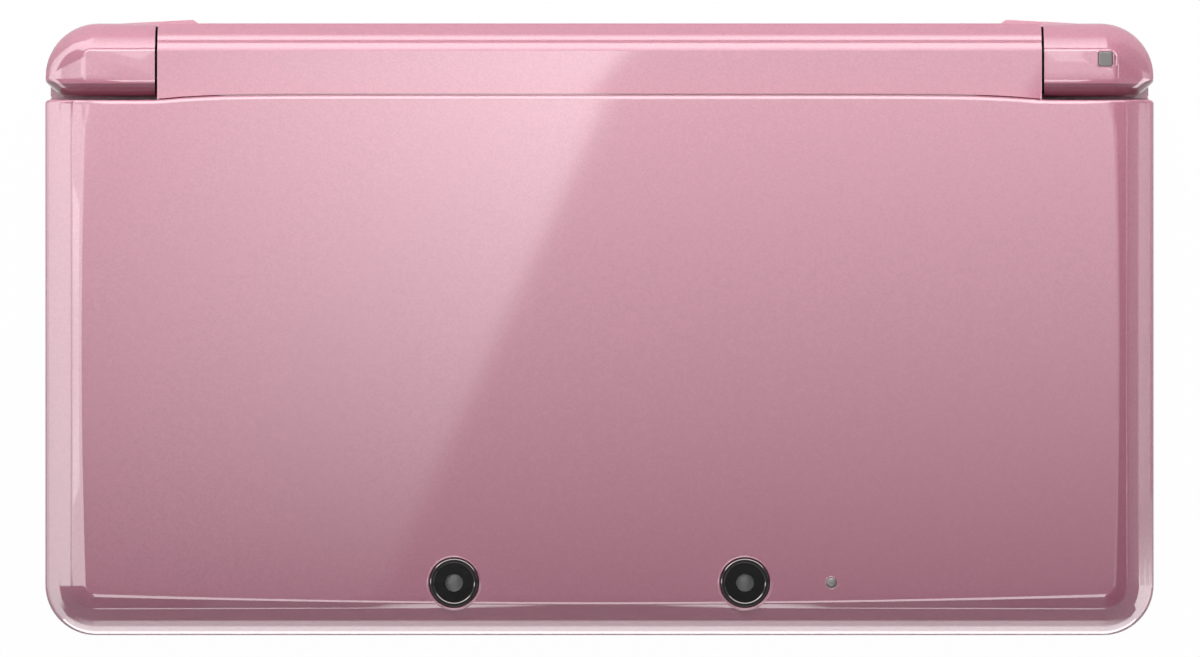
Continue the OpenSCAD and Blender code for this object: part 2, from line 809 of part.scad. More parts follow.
// End knuckle on the right
module knuckle() {
    difference() {
        intersection() {
            along_x(knuckle_x, hw) polygon([
                [y_knuckle_front, z_plate - 0.1],
                [y_back, z_plate - 0.1],
                [y_back, z_axis + 1.6],
                [y_axis + 1.3, z_axis + 4.7],
                [y_axis - 2, z_axis + 4.7],
                [y_knuckle_front, z_axis + 2.9]
            ]);
            along_y(y_front, y_back + 1) polygon([
                [knuckle_x, 0],
                [hw, 0],
                [hw, z_axis + 1.6],
                [hw - 5, z_axis + 4.7],
                [knuckle_x, z_axis + 4.7]
            ]);
            translate([0, 0, z_plate - 0.1]) linear_extrude(20) intersection() {
                plan(hw, y_front, y_back, corner_r, rear_r);
                polygon([
                    [0, y_front],
                    [hw - 2, y_front],
                    [hw - 2, y_knuckle_front],
                    [hw, y_knuckle_front + 2],
                    [hw, y_back],
                    [0, y_back]
                ]);
            }
        }
        children();
    }
}

module hinge_cap_left() {
    color(pearl) mirror([1, 0, 0]) knuckle()
        rod_x(knuckle_x - 1, knuckle_x + bush_seat, y_axis, z_axis, hinge_unit_d / 2);
}

module hinge_cap_right() {
    color(pearl) knuckle() {
        rod_x(knuckle_x - 1, knuckle_x + shaft_seat, y_axis, z_axis, shaft_d / 2);
        rounded_post(note_x, note_y, note_w, note_r, z_axis + 3, z_axis + 6);
    }
}

module notification_light() {
    color([0.6, 0.6, 0.62])
        rounded_post(note_x, note_y, note_w, note_r, z_axis + 3, z_axis + 4.75);
}

module power_lights() {
    color([0.7, 0.75, 0.7]) for (i = [0, 1])
        translate([light_x + i * light_pitch, y_front, 0])
            span([0, 0.4, z_face - light_h], [light_w, 3, z_face]);
}

module hinge_shaft() {
    color(metal) rod_x(barrel_half - unit_l + 2, knuckle_x + shaft_seat, y_axis, z_axis, shaft_d / 2);
}

module hinge_bush() {
    color(dark) difference() {
        rod_x(-knuckle_x - bush_seat, -barrel_half + bush_l, y_axis, z_axis, hinge_unit_d / 2);
        rod_x(-hw, 0, y_axis, z_axis, bush_bore_d / 2);
    }
}

module hinge_flex() {
    color([0.75, 0.5, 0.2]) difference() {
        rod_x(-knuckle_x - bush_seat + 0.3, -barrel_half + bush_l + 6, y_axis, z_axis, bush_bore_d / 2 - 0.2);
        rod_x(-hw, 0, y_axis, z_axis, bush_bore_d / 2 - 0.5);
        span([-hw, y_axis - 0.6, z_axis], [0, y_axis + 0.6, z_axis + 5]);
    }
}

module base_screws() {
    color(metal) {
        for (p = cover_screws) screw(p[0], p[1], 0.9 - screw_head_t, 0.9, z_board - 1);
        for (p = board_screws) screw(p[0], p[1], z_board_top + 0.6, z_board_top, z_bay + 1.4);
        for (p = plate_screws) screw(p[0], p[1], z_cover - screw_head_t, z_cover, z_plate - 0.8);
    }
}

module battery() {
    color([0.35, 0.36, 0.4])
        span([-step_x + 1, step_front + 0.4, cover_t], [-5, sd_y0 - 0.4, z_board - 0.6]);
}

module main_board() {
    color([0.1, 0.35, 0.25]) difference() {
        union() {
            span([-hw + 5, y_front + 4.3, z_board], [hw - 5, y_block - 0.5, z_board_top]);
            // Processor, memory and power chips under the board
            span([6, -20, z_board - 1.2], [18, -8, z_board]);
            span([6, -6, z_board - 1], [14, -2, z_board]);
            span([30, 10, z_board - 1.2], [38, 18, z_board]);
        }
        // Room for the slide pad, the jack and the posts
        span([-hw, pad_y - pad_box - 0.3, 0], [pad_x + pad_box + 0.3, y_block, z_face]);
        span([-jack_w / 2 - 0.4, y_front, 0], [jack_w / 2 + 0.4, jack_y1 + 0.5, z_face]);
        for (p = plate_screws) span([p[0] - 3, p[1] - 3, 0], [p[0] + 3, p[1] + 3, z_face]);
        for (p = board_screws) post(p[0], p[1], 0, z_face, screw_r);
    }
}

module wireless_module() {
    color([0.7, 0.7, 0.72])
        span([stylus_x + 6, wireless_y - 8.5, z_board - 2.2], [hw - 17, wireless_y + 8.5, z_board]);
}

module card_slot() {
    x = card_w / 2;
    color(metal) difference() {
        span([-x - sheet_t, y_back - cage_d, z_bay], [x + sheet_t, y_back - cage_in, z_board]);
        span([-x, y_back - card_d, z_bay + sheet_t], [x, y_back, z_board - sheet_t]);
    }
}

module sd_socket() {
    color(metal) difference() {
        span([-inner_x + 0.2, sd_y0, sd_z0 - 0.25], [sd_end, sd_y1, sd_z0 + sd_h + 0.25]);
        span([-inner_x, sd_y0 + sd_side, sd_z0], [sd_end - 0.6, sd_y1 - sd_side, sd_z0 + sd_h]);
    }
}

module charge_port() {
    color(dark) difference() {
        span([port_x - port_w / 2, y_back - port_d, z_bay + 0.6],
            [port_x + port_w / 2, y_back - 0.1, z_bay + 0.6 + port_h]);
        span([port_x - port_w / 2 + 1.5, y_back - port_d + 1, z_bay + 1.6],
            [port_x + port_w / 2 - 1.5, y_back, z_bay + port_h - 0.4]);
    }
}

module headphone_jack() {
    color(dark) difference() {
        union() {
            span([-jack_w / 2, jack_y0, z_bay + 0.9], [jack_w / 2, jack_y1, z_board_top]);
            rod_y(y_front + 0.6, jack_y0, 0, jack_z, jack_nose_r);
        }
        rod_y(y_front, jack_y1 - 0.9, 0, jack_z, jack_bore_d / 2);
    }
}

module ir_window() {
    color([0.15, 0.03, 0.05])
        span([ir_x0, y_back - ir_t, z_bay + 2.2], [ir_x1, y_back, z_bay + 2.2 + ir_h]);
}

module touch_display() {
    color([0.05, 0.05, 0.06])
        span([-touch_x - 1, touch_y - 0.5, z_board_top], [touch_x + 1, y_block, z_lens]);
}

module touch_lens() {
    color([0.08, 0.08, 0.1])
        span([-touch_x - 1.3, touch_y - 1.2, z_lens], [touch_x + 1.3, y_block - 0.1, z_plate]);
}

// Slide pad: a box with two crossed carriages under the cap
module slide_pad_module() {
    translate([pad_x, pad_y, 0]) color(dark) difference() {
        span([-pad_box, -pad_box, z_pad], [pad_box, pad_box, z_face - 2]);
        span([1.2 - pad_box, 1.2 - pad_box, z_pad + 0.35], [pad_box - 1.2, pad_box - 1.2, z_face - 2.4]);
        post(0, 0, z_pad + 0.1, z_face, pad_hole_r);
    }
}

// Bar with a slot that takes the stem of the cap
module carriage(z) {
    difference() {
        span([-carriage_l / 2, -carriage_w / 2, z], [carriage_l / 2, carriage_w / 2, z + carriage_t]);
        span([-pad_travel - stem_r - fit, -stem_r - fit, z - 1],
            [pad_travel + stem_r + fit, stem_r + fit, z + 1]);
    }
}

module slide_pad_carriage_y() {
    color([0.85, 0.85, 0.85]) translate([pad_x, pad_y, 0]) carriage(z_pad + 0.4);
}

module slide_pad_carriage_x() {
    color([0.85, 0.85, 0.85]) translate([pad_x, pad_y, 0]) rotate(90) carriage(z_pad + 0.5 + carriage_t);
}

module slide_pad_cap() {
    color([0.3, 0.3, 0.32]) translate([pad_x, pad_y, 0]) {
        post(0, 0, z_pad + 0.4, z_face - 0.9, stem_r);
        post(0, 0, z_face - 2.2, z_face - 0.9, 2.1);
        rotate_extrude($fn = 96) polygon([
            [0, z_face - 0.9],
            [pad_d / 2 - 0.3, z_face - 0.9],
            [pad_d / 2, z_face - 0.6],
            [pad_d / 2, z_face + 0.2],
            [pad_d / 2 - 0.4, z_face + 0.5],
            [pad_d / 2 - 1.6, z_face + 0.45],
            [pad_d / 2 - 3.4, z_face + 0.1],
            [0, z_face]
        ]);
    }
}

// Small cross of two round pins that the pad rocks on
module dpad_pivot() {
    color(dark) {
        rod_x(pad_x - 2.2, pad_x + 2.2, dpad_y, z_rock, 0.45);
        rod_y(dpad_y - 2.2, dpad_y + 2.2, pad_x, z_rock, 0.45);
    }
}

module dpad() {
    color([0.25, 0.25, 0.27]) translate([pad_x, dpad_y, 0]) {
        difference() {
            for (turn = [0, 90]) rotate(turn)
                span([-dpad_span / 2, -dpad_arm / 2, z_plate - 0.5],
                    [dpad_span / 2, dpad_arm / 2, z_face + 0.3]);
            // Shallow dish in the middle and a dimple on each arm
            translate([0, 0, z_face + 5]) sphere(5.2, $fn = 64);
            for (turn = [0:90:270]) rotate(turn)
                translate([dpad_spread, 0, z_face + 2.9]) sphere(2.8, $fn = 48);
        }
    }
}

// Rubber sheet with a raised dome under each of the four contacts
module membrane(x, y, spread, dome_top) {
    translate([x, y, 0]) color([0.3, 0.32, 0.35]) difference() {
        union() {
            post(0, 0, z_board_top, z_board_top + 0.35, spread + 2.6);
            for (turn = [0:90:270]) rotate(turn) post(spread, 0, z_board_top, dome_top, 2.4);
        }
        // Vent in the middle
        post(0, 0, 0, z_plate, 0.8);
    }
}

module dpad_membrane() {
    membrane(pad_x, dpad_y, dpad_spread, z_plate - 1.1);
}

module button_membrane() {
    membrane(button_x, button_y, button_spread, button_z - button_travel - 0.05);
}

module face_button(turn) {
    translate([button_x, button_y, 0]) rotate(turn) translate([button_spread, 0, 0]) {
        post(0, 0, button_z, z_plate - 0.05, button_d / 2 + 0.5);
        post(0, 0, z_plate - 0.05, z_face + 0.35, button_d / 2);
        intersection() {
            post(0, 0, z_face, z_face + 2, button_d / 2);
            translate([0, 0, z_face + 0.6 - 22]) sphere(22, $fn = 96);
        }
    }
}
module face_button_right() {
    color([0.9, 0.9, 0.9]) face_button(0);
}
module face_button_top() {
    color([0.9, 0.9, 0.9]) face_button(90);
}
module face_button_left() {
    color([0.9, 0.9, 0.9]) face_button(180);
}
module face_button_bottom() {
    color([0.9, 0.9, 0.9]) face_button(270);
}

// Small key of the row under the touch display
module key(i) {
    color(dark) translate([i * key_pitch, key_y, 0]) {
        span([-key_w / 2, -key_depth / 2, z_plate - 0.05], [key_w / 2, key_depth / 2, z_face + 0.2]);
        span([-key_w / 2 - 0.4, -key_depth / 2 - 0.4, z_plate - 0.6],
            [key_w / 2 + 0.4, key_depth / 2 + 0.4, z_plate - 0.05]);
    }
}
module select_key() {
    key(-1);
}
module home_key() {
    key(0);
}
module start_key() {
    key(1);
}

module power_key() {
    color(dark) {
        post(power_x, power_y, z_board_top + 0.45, z_plate - 0.05, power_d / 2 + 0.6);
        post(power_x, power_y, z_plate - 0.05, z_face + 0.2, power_d / 2);
    }
}

// Right shoulder button: a curved plate that wraps the rear corner
module shoulder() {
    z0 = z_cover + 1;
    translate([0, 0, z0]) linear_extrude(shoulder_h) intersection() {
        difference() {
            union() {
                plan(hw - 0.3, y_front, y_back, corner_r, rear_r);
                polygon([
                    [shoulder_x, y_back - 1],
                    [shoulder_x, y_back],
                    [shoulder_x + 0.9, y_tip],
                    [hw - rear_r + 0.4, y_back],
                    [hw - rear_r, y_back - 1]
                ]);
            }
            plan(hw - 0.3 - shoulder_t, y_front, y_back - shoulder_t, corner_r, rear_r - shoulder_t);
        }
        polygon([
            [shoulder_x, y_back + 2],
            [shoulder_x, y_back - 4],
            [hw - 8, y_back - 8.7],
            [hw + 1, y_back - 8.7],
            [hw + 1, y_back + 2]
        ]);
    }
    // Pivot boss and its trunnion
    post(pivot_x, pivot_y, z0, z0 + shoulder_h, 1.4);
    post(pivot_x, pivot_y, z_cover + 0.3, z0, pivot_r);
    span([pivot_x, pivot_y - 0.9, z0], [shoulder_x + 0.5, pivot_y + 1.1, z0 + shoulder_h]);
}
module shoulder_right() {
    color(pearl) shoulder();
}
module shoulder_left() {
    color(pearl) mirror([1, 0, 0]) shoulder();
}

// Knob outside the side wall with a foot inside it
module side_knob(y0, y1) {
    span([hw - 3.4, y0, jack_z], [hw, y1, jack_z + knob_h]);
    span([inner_x - 0.7, y0 - 0.8, jack_z - 0.8], [inner_x - 0.05, y1 + 0.8, jack_z + 1.1]);
}
module volume_slider() {
    color(dark) mirror([1, 0, 0]) side_knob(volume_y[1], volume_y[2]);
}
module wireless_switch() {
    color(dark) side_knob(wireless_switch_y[1], wireless_switch_y[2]);
}

// Door of the memory card slot with its round hinge edge
module card_door() {
    z0 = z_cover + 0.9;
    z1 = z_housing - 0.25;
    color(pearl) {
        intersection() {
            base_middle();
            span([-hw, sd_y0 + 0.1, z0], [-hw + 1.75, door_pin_y, z1]);
        }
        post(door_pin_x, door_pin_y, z0, z1, door_pin_r);
    }
}

module stylus_tip() {
    color([0.85, 0.85, 0.86]) {
        translate([stylus_x, stylus_front + 0.4, stylus_z]) rotate([-90, 0, 0])
            cylinder(h = tip_l, r1 = 0.5, r2 = stylus_d / 2 - 0.2, $fn = 48);
        rod_y(y_collar, y_collar + collar_l, stylus_x, stylus_z, stylus_d / 2 - 0.2);
        rod_y(y_collar + collar_l, y_collar + collar_l + rod_l, stylus_x, stylus_z, rod_r);
    }
}

module stylus_handle() {
    color(dark) difference() {
        rod_y(y_collar + collar_l + 0.1, y_back - 0.1, stylus_x, stylus_z, stylus_d / 2);
        rod_y(y_collar, y_collar + collar_l + rod_l + 1.4, stylus_x, stylus_z, rod_r + fit);
    }
}

lid_panel();
lid_frame();
screen_bezel();
upper_display();
speaker_left();
speaker_right();
camera_ring_left();
camera_ring_right();
camera_window_left();
camera_window_right();
camera_module();
camera_light();
bezel_bumpers();
lid_screws();
hinge_unit();
depth_slider();
bottom_cover();
lower_housing();
control_faceplate();
hinge_cap_left();
hinge_cap_right();
notification_light();
power_lights();
hinge_shaft();
hinge_bush();
hinge_flex();
base_screws();
battery();
main_board();
wireless_module();
card_slot();
sd_socket();
charge_port();
headphone_jack();
ir_window();
touch_display();
touch_lens();
slide_pad_module();
slide_pad_carriage_x();
slide_pad_carriage_y();
slide_pad_cap();
dpad_pivot();
dpad();
dpad_membrane();
face_button_right();
face_button_bottom();
face_button_top();
face_button_left();
button_membrane();
select_key();
home_key();
start_key();
power_key();
shoulder_left();
shoulder_right();
volume_slider();
wireless_switch();
card_door();
stylus_tip();
stylus_handle();
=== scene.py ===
import json
import math

import bmesh
import bpy
from mathutils import Matrix, Vector

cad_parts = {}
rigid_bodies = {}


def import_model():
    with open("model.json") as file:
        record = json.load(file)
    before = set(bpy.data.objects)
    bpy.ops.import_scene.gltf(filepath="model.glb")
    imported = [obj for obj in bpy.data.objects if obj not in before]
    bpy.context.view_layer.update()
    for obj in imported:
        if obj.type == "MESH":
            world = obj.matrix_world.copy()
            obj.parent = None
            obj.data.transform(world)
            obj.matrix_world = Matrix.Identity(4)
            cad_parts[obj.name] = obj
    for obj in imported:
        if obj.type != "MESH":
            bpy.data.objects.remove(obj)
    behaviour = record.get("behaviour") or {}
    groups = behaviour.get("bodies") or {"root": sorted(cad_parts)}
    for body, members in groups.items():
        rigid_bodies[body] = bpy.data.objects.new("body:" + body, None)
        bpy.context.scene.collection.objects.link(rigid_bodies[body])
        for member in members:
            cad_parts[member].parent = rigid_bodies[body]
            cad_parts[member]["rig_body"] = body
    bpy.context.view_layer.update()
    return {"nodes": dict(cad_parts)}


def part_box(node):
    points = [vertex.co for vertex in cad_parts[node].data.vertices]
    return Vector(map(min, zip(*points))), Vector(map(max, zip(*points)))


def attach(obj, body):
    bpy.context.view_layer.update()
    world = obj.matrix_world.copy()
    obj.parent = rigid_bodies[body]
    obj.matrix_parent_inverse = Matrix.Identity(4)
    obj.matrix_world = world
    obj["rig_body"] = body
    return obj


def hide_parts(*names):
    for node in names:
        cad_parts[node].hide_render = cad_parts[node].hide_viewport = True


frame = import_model()
MM = 0.001
CREASE = 32  # degrees between two faces from which the edge between them stays sharp
WHITE = (1.0, 1.0, 1.0, 1.0)


# Finishes

def linear(hexa):
    """An sRGB hex colour as linear light."""
    parts = [int(hexa[i:i + 2], 16) / 255 for i in (1, 3, 5)]
    return tuple(c / 12.92 if c <= 0.04045 else ((c + 0.055) / 1.055) ** 2.4
                 for c in parts) + (1.0,)


def wire(tree, node, *values, **settings):
    """Sets up a node: settings go to its sockets and properties by name, and values to its sockets
    in order. A socket is linked, a node is linked by its first output, anything else is set."""
    for key, value in (*settings.items(), *enumerate(values)):
        name = key.replace("_", " ") if key in settings else key
        if isinstance(value, bpy.types.Node):
            value = value.outputs[0]
        if key in settings and name not in node.inputs:
            setattr(node, key, value)
        elif isinstance(value, bpy.types.NodeSocket):
            tree.links.new(value, node.inputs[name])
        else:
            node.inputs[name].default_value = value
    return node


def add(tree, kind, *values, **settings):
    """Adds one node with its settings and links."""
    return wire(tree, tree.nodes.new("ShaderNode" + kind), *values, **settings)


def emptied(owner):
    """The node tree of a material or a world, with nothing in it."""
    owner.use_nodes = True
    owner.node_tree.nodes.clear()
    return owner.node_tree


def finish(name, colour, roughness, **fixed):
    """A new material whose constant values sit on the shader's own sockets."""
    material = bpy.data.materials.new(name)
    tree = emptied(material)
    shader = add(tree, "BsdfPrincipled", Base_Color=linear(colour), Roughness=roughness, **fixed)
    add(tree, "OutputMaterial", Surface=shader)
    return material, tree, shader


def pearl_lacquer_on_abs(name, back, front, roughness, coat, coat_roughness):
    """Moulded ABS sprayed with pearl flake under clear lacquer: soft pink that deepens from the
    hinge to the front edge, partly the paint's own gradient and partly painted shade, fine grain,
    a sharp top reflection. Real flakes are about 0.05 mm, drawn at 0.2 mm so that the grain shows."""
    flake_mm, mottle_mm = 0.2, 0.9
    material, tree, shader = finish(name, back, roughness, Metallic=0.04, Coat_Weight=coat,
                                    Coat_Roughness=coat_roughness, Coat_IOR=1.7, IOR=1.5,
                                    Specular_IOR_Level=0.25)
    place = add(tree, "TexCoord").outputs["Object"]
    axes = add(tree, "SeparateXYZ", place)
    # Darker from the hinge to the front: partly the paint's own gradient, partly painted shade
    shade = add(tree, "MapRange", axes.outputs["Y"], From_Min=0.026, From_Max=-0.037)
    pink = add(tree, "MixRGB", shade, linear(back), linear(front))
    flake = add(tree, "TexVoronoi", Vector=place, Scale=1000 / flake_mm)
    spread = add(tree, "SeparateColor", flake.outputs["Color"])
    clouds = add(tree, "TexNoise", Vector=place, Scale=1000 / mottle_mm, Detail=3.0, Roughness=0.6)
    # Flakes lighten or deepen the coat by a few hundredths, and drift together into a mottle
    mottle = add(tree, "MapRange", clouds, From_Min=0.3, From_Max=0.7, To_Min=0.975, To_Max=1.025)
    sparkle = add(tree, "MapRange", spread.outputs["Red"], To_Min=0.96, To_Max=1.04)
    grain = add(tree, "Math", mottle, sparkle, operation="MULTIPLY")
    tone = add(tree, "VectorMath", pink, operation="SCALE", Scale=grain)
    gloss = add(tree, "MapRange", spread.outputs["Green"], To_Min=roughness - 0.05,
                To_Max=roughness + 0.05)
    # Each flake lies a little off the surface, which gives the grain its sparkle
    middle = add(tree, "VectorMath", flake.outputs["Color"], (0.5, 0.5, 0.5), operation="SUBTRACT")
    tilt = add(tree, "VectorMath", middle, operation="SCALE", Scale=0.08)
    upright = add(tree, "NewGeometry").outputs["Normal"]
    lean = add(tree, "VectorMath", upright, tilt, operation="ADD")
    normal = add(tree, "VectorMath", lean, operation="NORMALIZE")
    wire(tree, shader, Base_Color=tone, Roughness=gloss, Normal=normal)
    return material


def moulded_plastic(name, colour, worn, roughness, texture_mm, depth_mm, **fixed):
    """Injection moulded plastic with a spark-eroded skin: fine even grain and slightly uneven
    gloss, with faint clouds of tone about 7 mm across."""
    material, tree, shader = finish(name, colour, roughness, **fixed)
    place = add(tree, "TexCoord").outputs["Object"]
    skin = add(tree, "TexNoise", Vector=place, Scale=1000 / texture_mm, Detail=4.0, Roughness=0.7)
    clouds = add(tree, "TexNoise", Vector=place, Scale=1000 / 7, Detail=2.0)
    tone = add(tree, "MixRGB", clouds, linear(colour), linear(worn))
    gloss = add(tree, "MapRange", skin, To_Min=roughness - 0.07, To_Max=roughness + 0.07)
    bump = add(tree, "Bump", Height=skin, Strength=0.5, Distance=depth_mm * MM)
    wire(tree, shader, Base_Color=tone, Roughness=gloss, Normal=bump)
    return material


def brushed_metal(name, colour, dull, roughness, across_mm):
    """Stamped or turned metal: fine lines along the piece and small shifts of tone."""
    stretch = 14.0
    material, tree, shader = finish(name, colour, roughness, Metallic=1.0)
    place = add(tree, "TexCoord").outputs["Object"]
    drawn = add(tree, "Mapping", Vector=place, Scale=(1.0, stretch, stretch))
    lines = add(tree, "TexNoise", Vector=drawn, Scale=1000 / (across_mm * stretch), Detail=3.0)
    tone = add(tree, "MixRGB", lines, linear(colour), linear(dull))
    gloss = add(tree, "MapRange", lines, To_Min=roughness - 0.08, To_Max=roughness + 0.1)
    wire(tree, shader, Base_Color=tone, Roughness=gloss)
    return material


def solder_masked_board(name):
    """Epoxy glass board under green mask: copper runs show as paler lines on a 1.2 mm grid, and
    tinned pads as warm dots 1.7 mm apart."""
    run_mm, pad_mm = 1.2, 1.7
    material, tree, shader = finish(name, "#1F5A3C", 0.35, Coat_Weight=0.4, Coat_Roughness=0.2)
    place = add(tree, "TexCoord").outputs["Object"]
    runs = add(tree, "TexBrick", Vector=place, Scale=1000 / run_mm, Mortar_Size=0.05,
               Color1=linear("#1B5236"), Color2=linear("#246746"), Mortar=linear("#5E9A66"))
    pads = add(tree, "TexVoronoi", Vector=place, Scale=1000 / pad_mm)
    near = add(tree, "MapRange", pads, From_Min=0.16, From_Max=0.2, To_Min=1.0, To_Max=0.0)
    tone = add(tree, "MixRGB", near, runs, linear("#B9A46A"))
    bump = add(tree, "Bump", Height=runs.outputs["Fac"], Strength=0.4, Distance=0.03 * MM)
    wire(tree, shader, Base_Color=tone, Normal=bump)
    return material


def woven_film(name, colour, deep, roughness, pitch_mm, **fixed):
    """Thin film or panel with fine parallel lines under its surface, and gloss that drifts over
    about 12 mm. A wave of the texture is a twentieth of its scale."""
    material, tree, shader = finish(name, colour, roughness, **fixed)
    place = add(tree, "TexCoord").outputs["Object"]
    lines = add(tree, "TexWave", Vector=place, Scale=1000 / (pitch_mm * 20), Distortion=0.0,
                bands_direction="Y")
    tone = add(tree, "MixRGB", lines.outputs["Fac"], linear(colour), linear(deep))
    clouds = add(tree, "TexNoise", Vector=place, Scale=1000 / 12, Detail=2.0)
    gloss = add(tree, "MapRange", clouds, To_Min=roughness * 0.7, To_Max=roughness * 1.3)
    wire(tree, shader, Base_Color=tone, Roughness=gloss)
    return material


def polished_glass(name, tint, roughness):
    """Ground and polished optical glass: clear, with faint wiping marks in its gloss about 1.5 mm
    apart."""
    material, tree, shader = finish(name, tint, roughness, Transmission_Weight=1.0, IOR=1.52)
    place = add(tree, "TexCoord").outputs["Object"]
    marks = add(tree, "TexNoise", Vector=place, Scale=1000 / 1.5, Detail=2.0)
    gloss = add(tree, "MapRange", marks, To_Min=roughness * 0.5, To_Max=roughness * 1.8)
    wire(tree, shader, Roughness=gloss)
    return material


# Sprayed shell, pink with a hard clear coat, deeper towards the front: partly the paint's
# gradient, partly painted shade
PEARL = pearl_lacquer_on_abs("pearl_lacquer_gloss", "#C57F94", "#94566C", 0.42, 1.0, 0.03)
# Painted shade: a darker copy of the lacquer for the faces down in the gaps, where shade falls
PEARL_PAINTED_SHADE = pearl_lacquer_on_abs("pearl_lacquer_painted_shade", "#8A4F60", "#7A4656", 0.42, 1.0, 0.05)
# Satin lacquer round the controls, paler and without a sharp reflection
FACEPLATE = pearl_lacquer_on_abs("pearl_lacquer_satin", "#D8A1B1", "#CE95A7", 0.5, 0.6, 0.28)
# Polished mould, near black with a mirror of the room
BEZEL = moulded_plastic("abs_piano_gloss_black", "#0B0B0D", "#101013", 0.12, 0.6, 0.002,
                        Coat_Weight=0.6, Coat_Roughness=0.04)
# Eroded mould, dull black
BLACK = moulded_plastic("abs_eroded_black", "#17171A", "#1F1F23", 0.48, 0.18, 0.012)
# Turned and dyed, black with hardly any shine
RING = moulded_plastic("aluminium_black_anodised_turned", "#050505", "#080808", 0.3, 0.4, 0.001,
                       Specular_IOR_Level=0.12)
# Plated edge, a thin bright line
CHROME = brushed_metal("brass_black_chrome_plated", "#6E6667", "#5C5556", 0.1, 0.3)
# Plated sheet and pins, grey with fine lines
STEEL = brushed_metal("steel_zinc_plated", "#B9BABD", "#9A9CA1", 0.32, 0.15)
SCREW = brushed_metal("steel_black_oxide_screw", "#4A4A4E", "#37373B", 0.38, 0.12)
GOLD = brushed_metal("phosphor_bronze_gold_flash", "#D6B36A", "#B9934E", 0.28, 0.12)
STYLUS_METAL = brushed_metal("steel_stylus_tube_drawn", "#C4C5C8", "#A9ABB0", 0.25, 0.1)
BOARD = solder_masked_board("fr4_green_solder_mask")
# Matt filled epoxy
CHIP = moulded_plastic("epoxy_moulded_chip", "#202124", "#2A2B2F", 0.55, 0.15, 0.01)
# Frosted light guides, unlit grey
GUIDE = moulded_plastic("polycarbonate_frosted_light_guide", "#716A69", "#655F5E", 0.35, 0.2,
                        0.004, Coat_Weight=0.5, Coat_Roughness=0.15)
# Flat black: the lens barrels' own black, and painted shade as a sheet in the hinge seams
INK_AND_SHADE = moulded_plastic("black_ink_and_painted_shade", "#050506", "#070708", 0.9, 0.3, 0.001,
                      Specular_IOR_Level=0.1)
# Soft mouldings, matt grey, and milky where thin
RUBBER = moulded_plastic("silicone_rubber_moulded", "#232326", "#2C2C30", 0.72, 0.2, 0.01)
MEMBRANE = moulded_plastic("silicone_rubber_translucent", "#B9B6B0", "#A9A6A1", 0.6, 0.3, 0.008,
                           Transmission_Weight=0.15)
CASE = moulded_plastic("polycarbonate_battery_case", "#3A3D45", "#30333A", 0.5, 0.25, 0.01)
# Dyed acrylic, nearly black with a red depth
INFRARED = moulded_plastic("acrylic_infrared_filter", "#1B0508", "#23070B", 0.08, 0.8, 0.001,
                           Coat_Weight=0.5, Coat_Roughness=0.03)
# Controls, each as its mould left it
CARRIAGE = moulded_plastic("acetal_moulded_white", "#D8D6CF", "#CBC9C2", 0.4, 0.3, 0.006)
SLIDE_CAP = moulded_plastic("thermoplastic_rubber_grey", "#7B7D82", "#6E7075", 0.62, 0.16, 0.014)
BUTTON = moulded_plastic("abs_pearl_white_moulded", "#E9D8DD", "#E2CDD4", 0.3, 0.5, 0.002,
                         Coat_Weight=0.3, Coat_Roughness=0.1)
KEY = moulded_plastic("abs_satin_pink_grey", "#C9A5B0", "#BE98A5", 0.42, 0.2, 0.006)
STYLUS = moulded_plastic("pom_stylus_black", "#26262A", "#303036", 0.42, 0.18, 0.008)
FLEX = woven_film("polyimide_flex_amber", "#B8702A", "#8E5119", 0.3, 0.4, Coat_Weight=0.3)
# Panels that are off, dark with a soft sheen
LCD = woven_film("liquid_crystal_panel_off", "#0E1114", "#111418", 0.16, 0.25,
                 Specular_IOR_Level=0.35)
TOUCH = woven_film("touch_film_over_glass", "#232629", "#24272A", 0.24, 0.3, Coat_Weight=0.3,
                   Coat_Roughness=0.16)
SPEAKER_CLOTH = woven_film("polyester_speaker_mesh", "#0E0E10", "#1A1A1D", 0.8, 0.3)
GLASS = polished_glass("optical_glass_polished", "#F4F6F6", 0.02)
# Glass over black print, and the coated lens behind it
PRINTED_GLASS = moulded_plastic("glass_black_printed_back", "#040404", "#060606", 0.05, 1.0,
                                0.0002, Specular_IOR_Level=0.3)
LENS = moulded_plastic("optical_glass_lens_coated", "#332F30", "#3A3536", 0.3, 1.0, 0.0005,
                       Coat_Weight=0.1)


# Making pieces

def new_object(name, data):
    """A new object in the scene."""
    thing = bpy.data.objects.new(name, data)
    bpy.context.scene.collection.objects.link(thing)
    return thing


def new_mesh(name, form):
    """A worked form as a mesh."""
    mesh = bpy.data.meshes.new(name)
    form.to_mesh(mesh)
    form.free()
    return mesh


def piece(name, form, body, material, slot, *nodes, crease=CREASE):
    """Turns a worked form into a named piece on its body, smooth except across creases."""
    bmesh.ops.recalc_face_normals(form, faces=form.faces)
    thing = new_object(name, new_mesh(name, form))
    thing.data.materials.append(material)
    soften(thing, crease)
    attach(thing, body)
    if nodes:
        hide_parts(*nodes)
    return thing


def soften(thing, crease=CREASE):
    """Smooth shading except across creases, with large flat faces kept flat."""
    thing.data.polygons.foreach_set("use_smooth", [True] * len(thing.data.polygons))
    thing.data.set_sharp_from_angle(angle=math.radians(crease))
    rule = thing.modifiers.new("flats", "WEIGHTED_NORMAL")
    rule.keep_sharp = True
    rule.weight = 100
    settle(thing)


def settle(thing):
    """Applies a piece's modifiers to its mesh."""
    bpy.context.view_layer.update()
    worked = thing.evaluated_get(bpy.context.evaluated_depsgraph_get())
    done = bpy.data.meshes.new_from_object(worked)
    done.name = thing.data.name
    thing.modifiers.clear()
    old = thing.data
    thing.data = done
    bpy.data.meshes.remove(old)


def form_of(node):
    """A fresh form of a CAD piece, with its flat faces whole."""
    form = bmesh.new()
    form.from_mesh(frame["nodes"][node].data)
    bmesh.ops.remove_doubles(form, verts=form.verts, dist=1e-6)
    bmesh.ops.dissolve_limit(form, angle_limit=math.radians(0.6), verts=form.verts,
                             edges=form.edges)
    return form


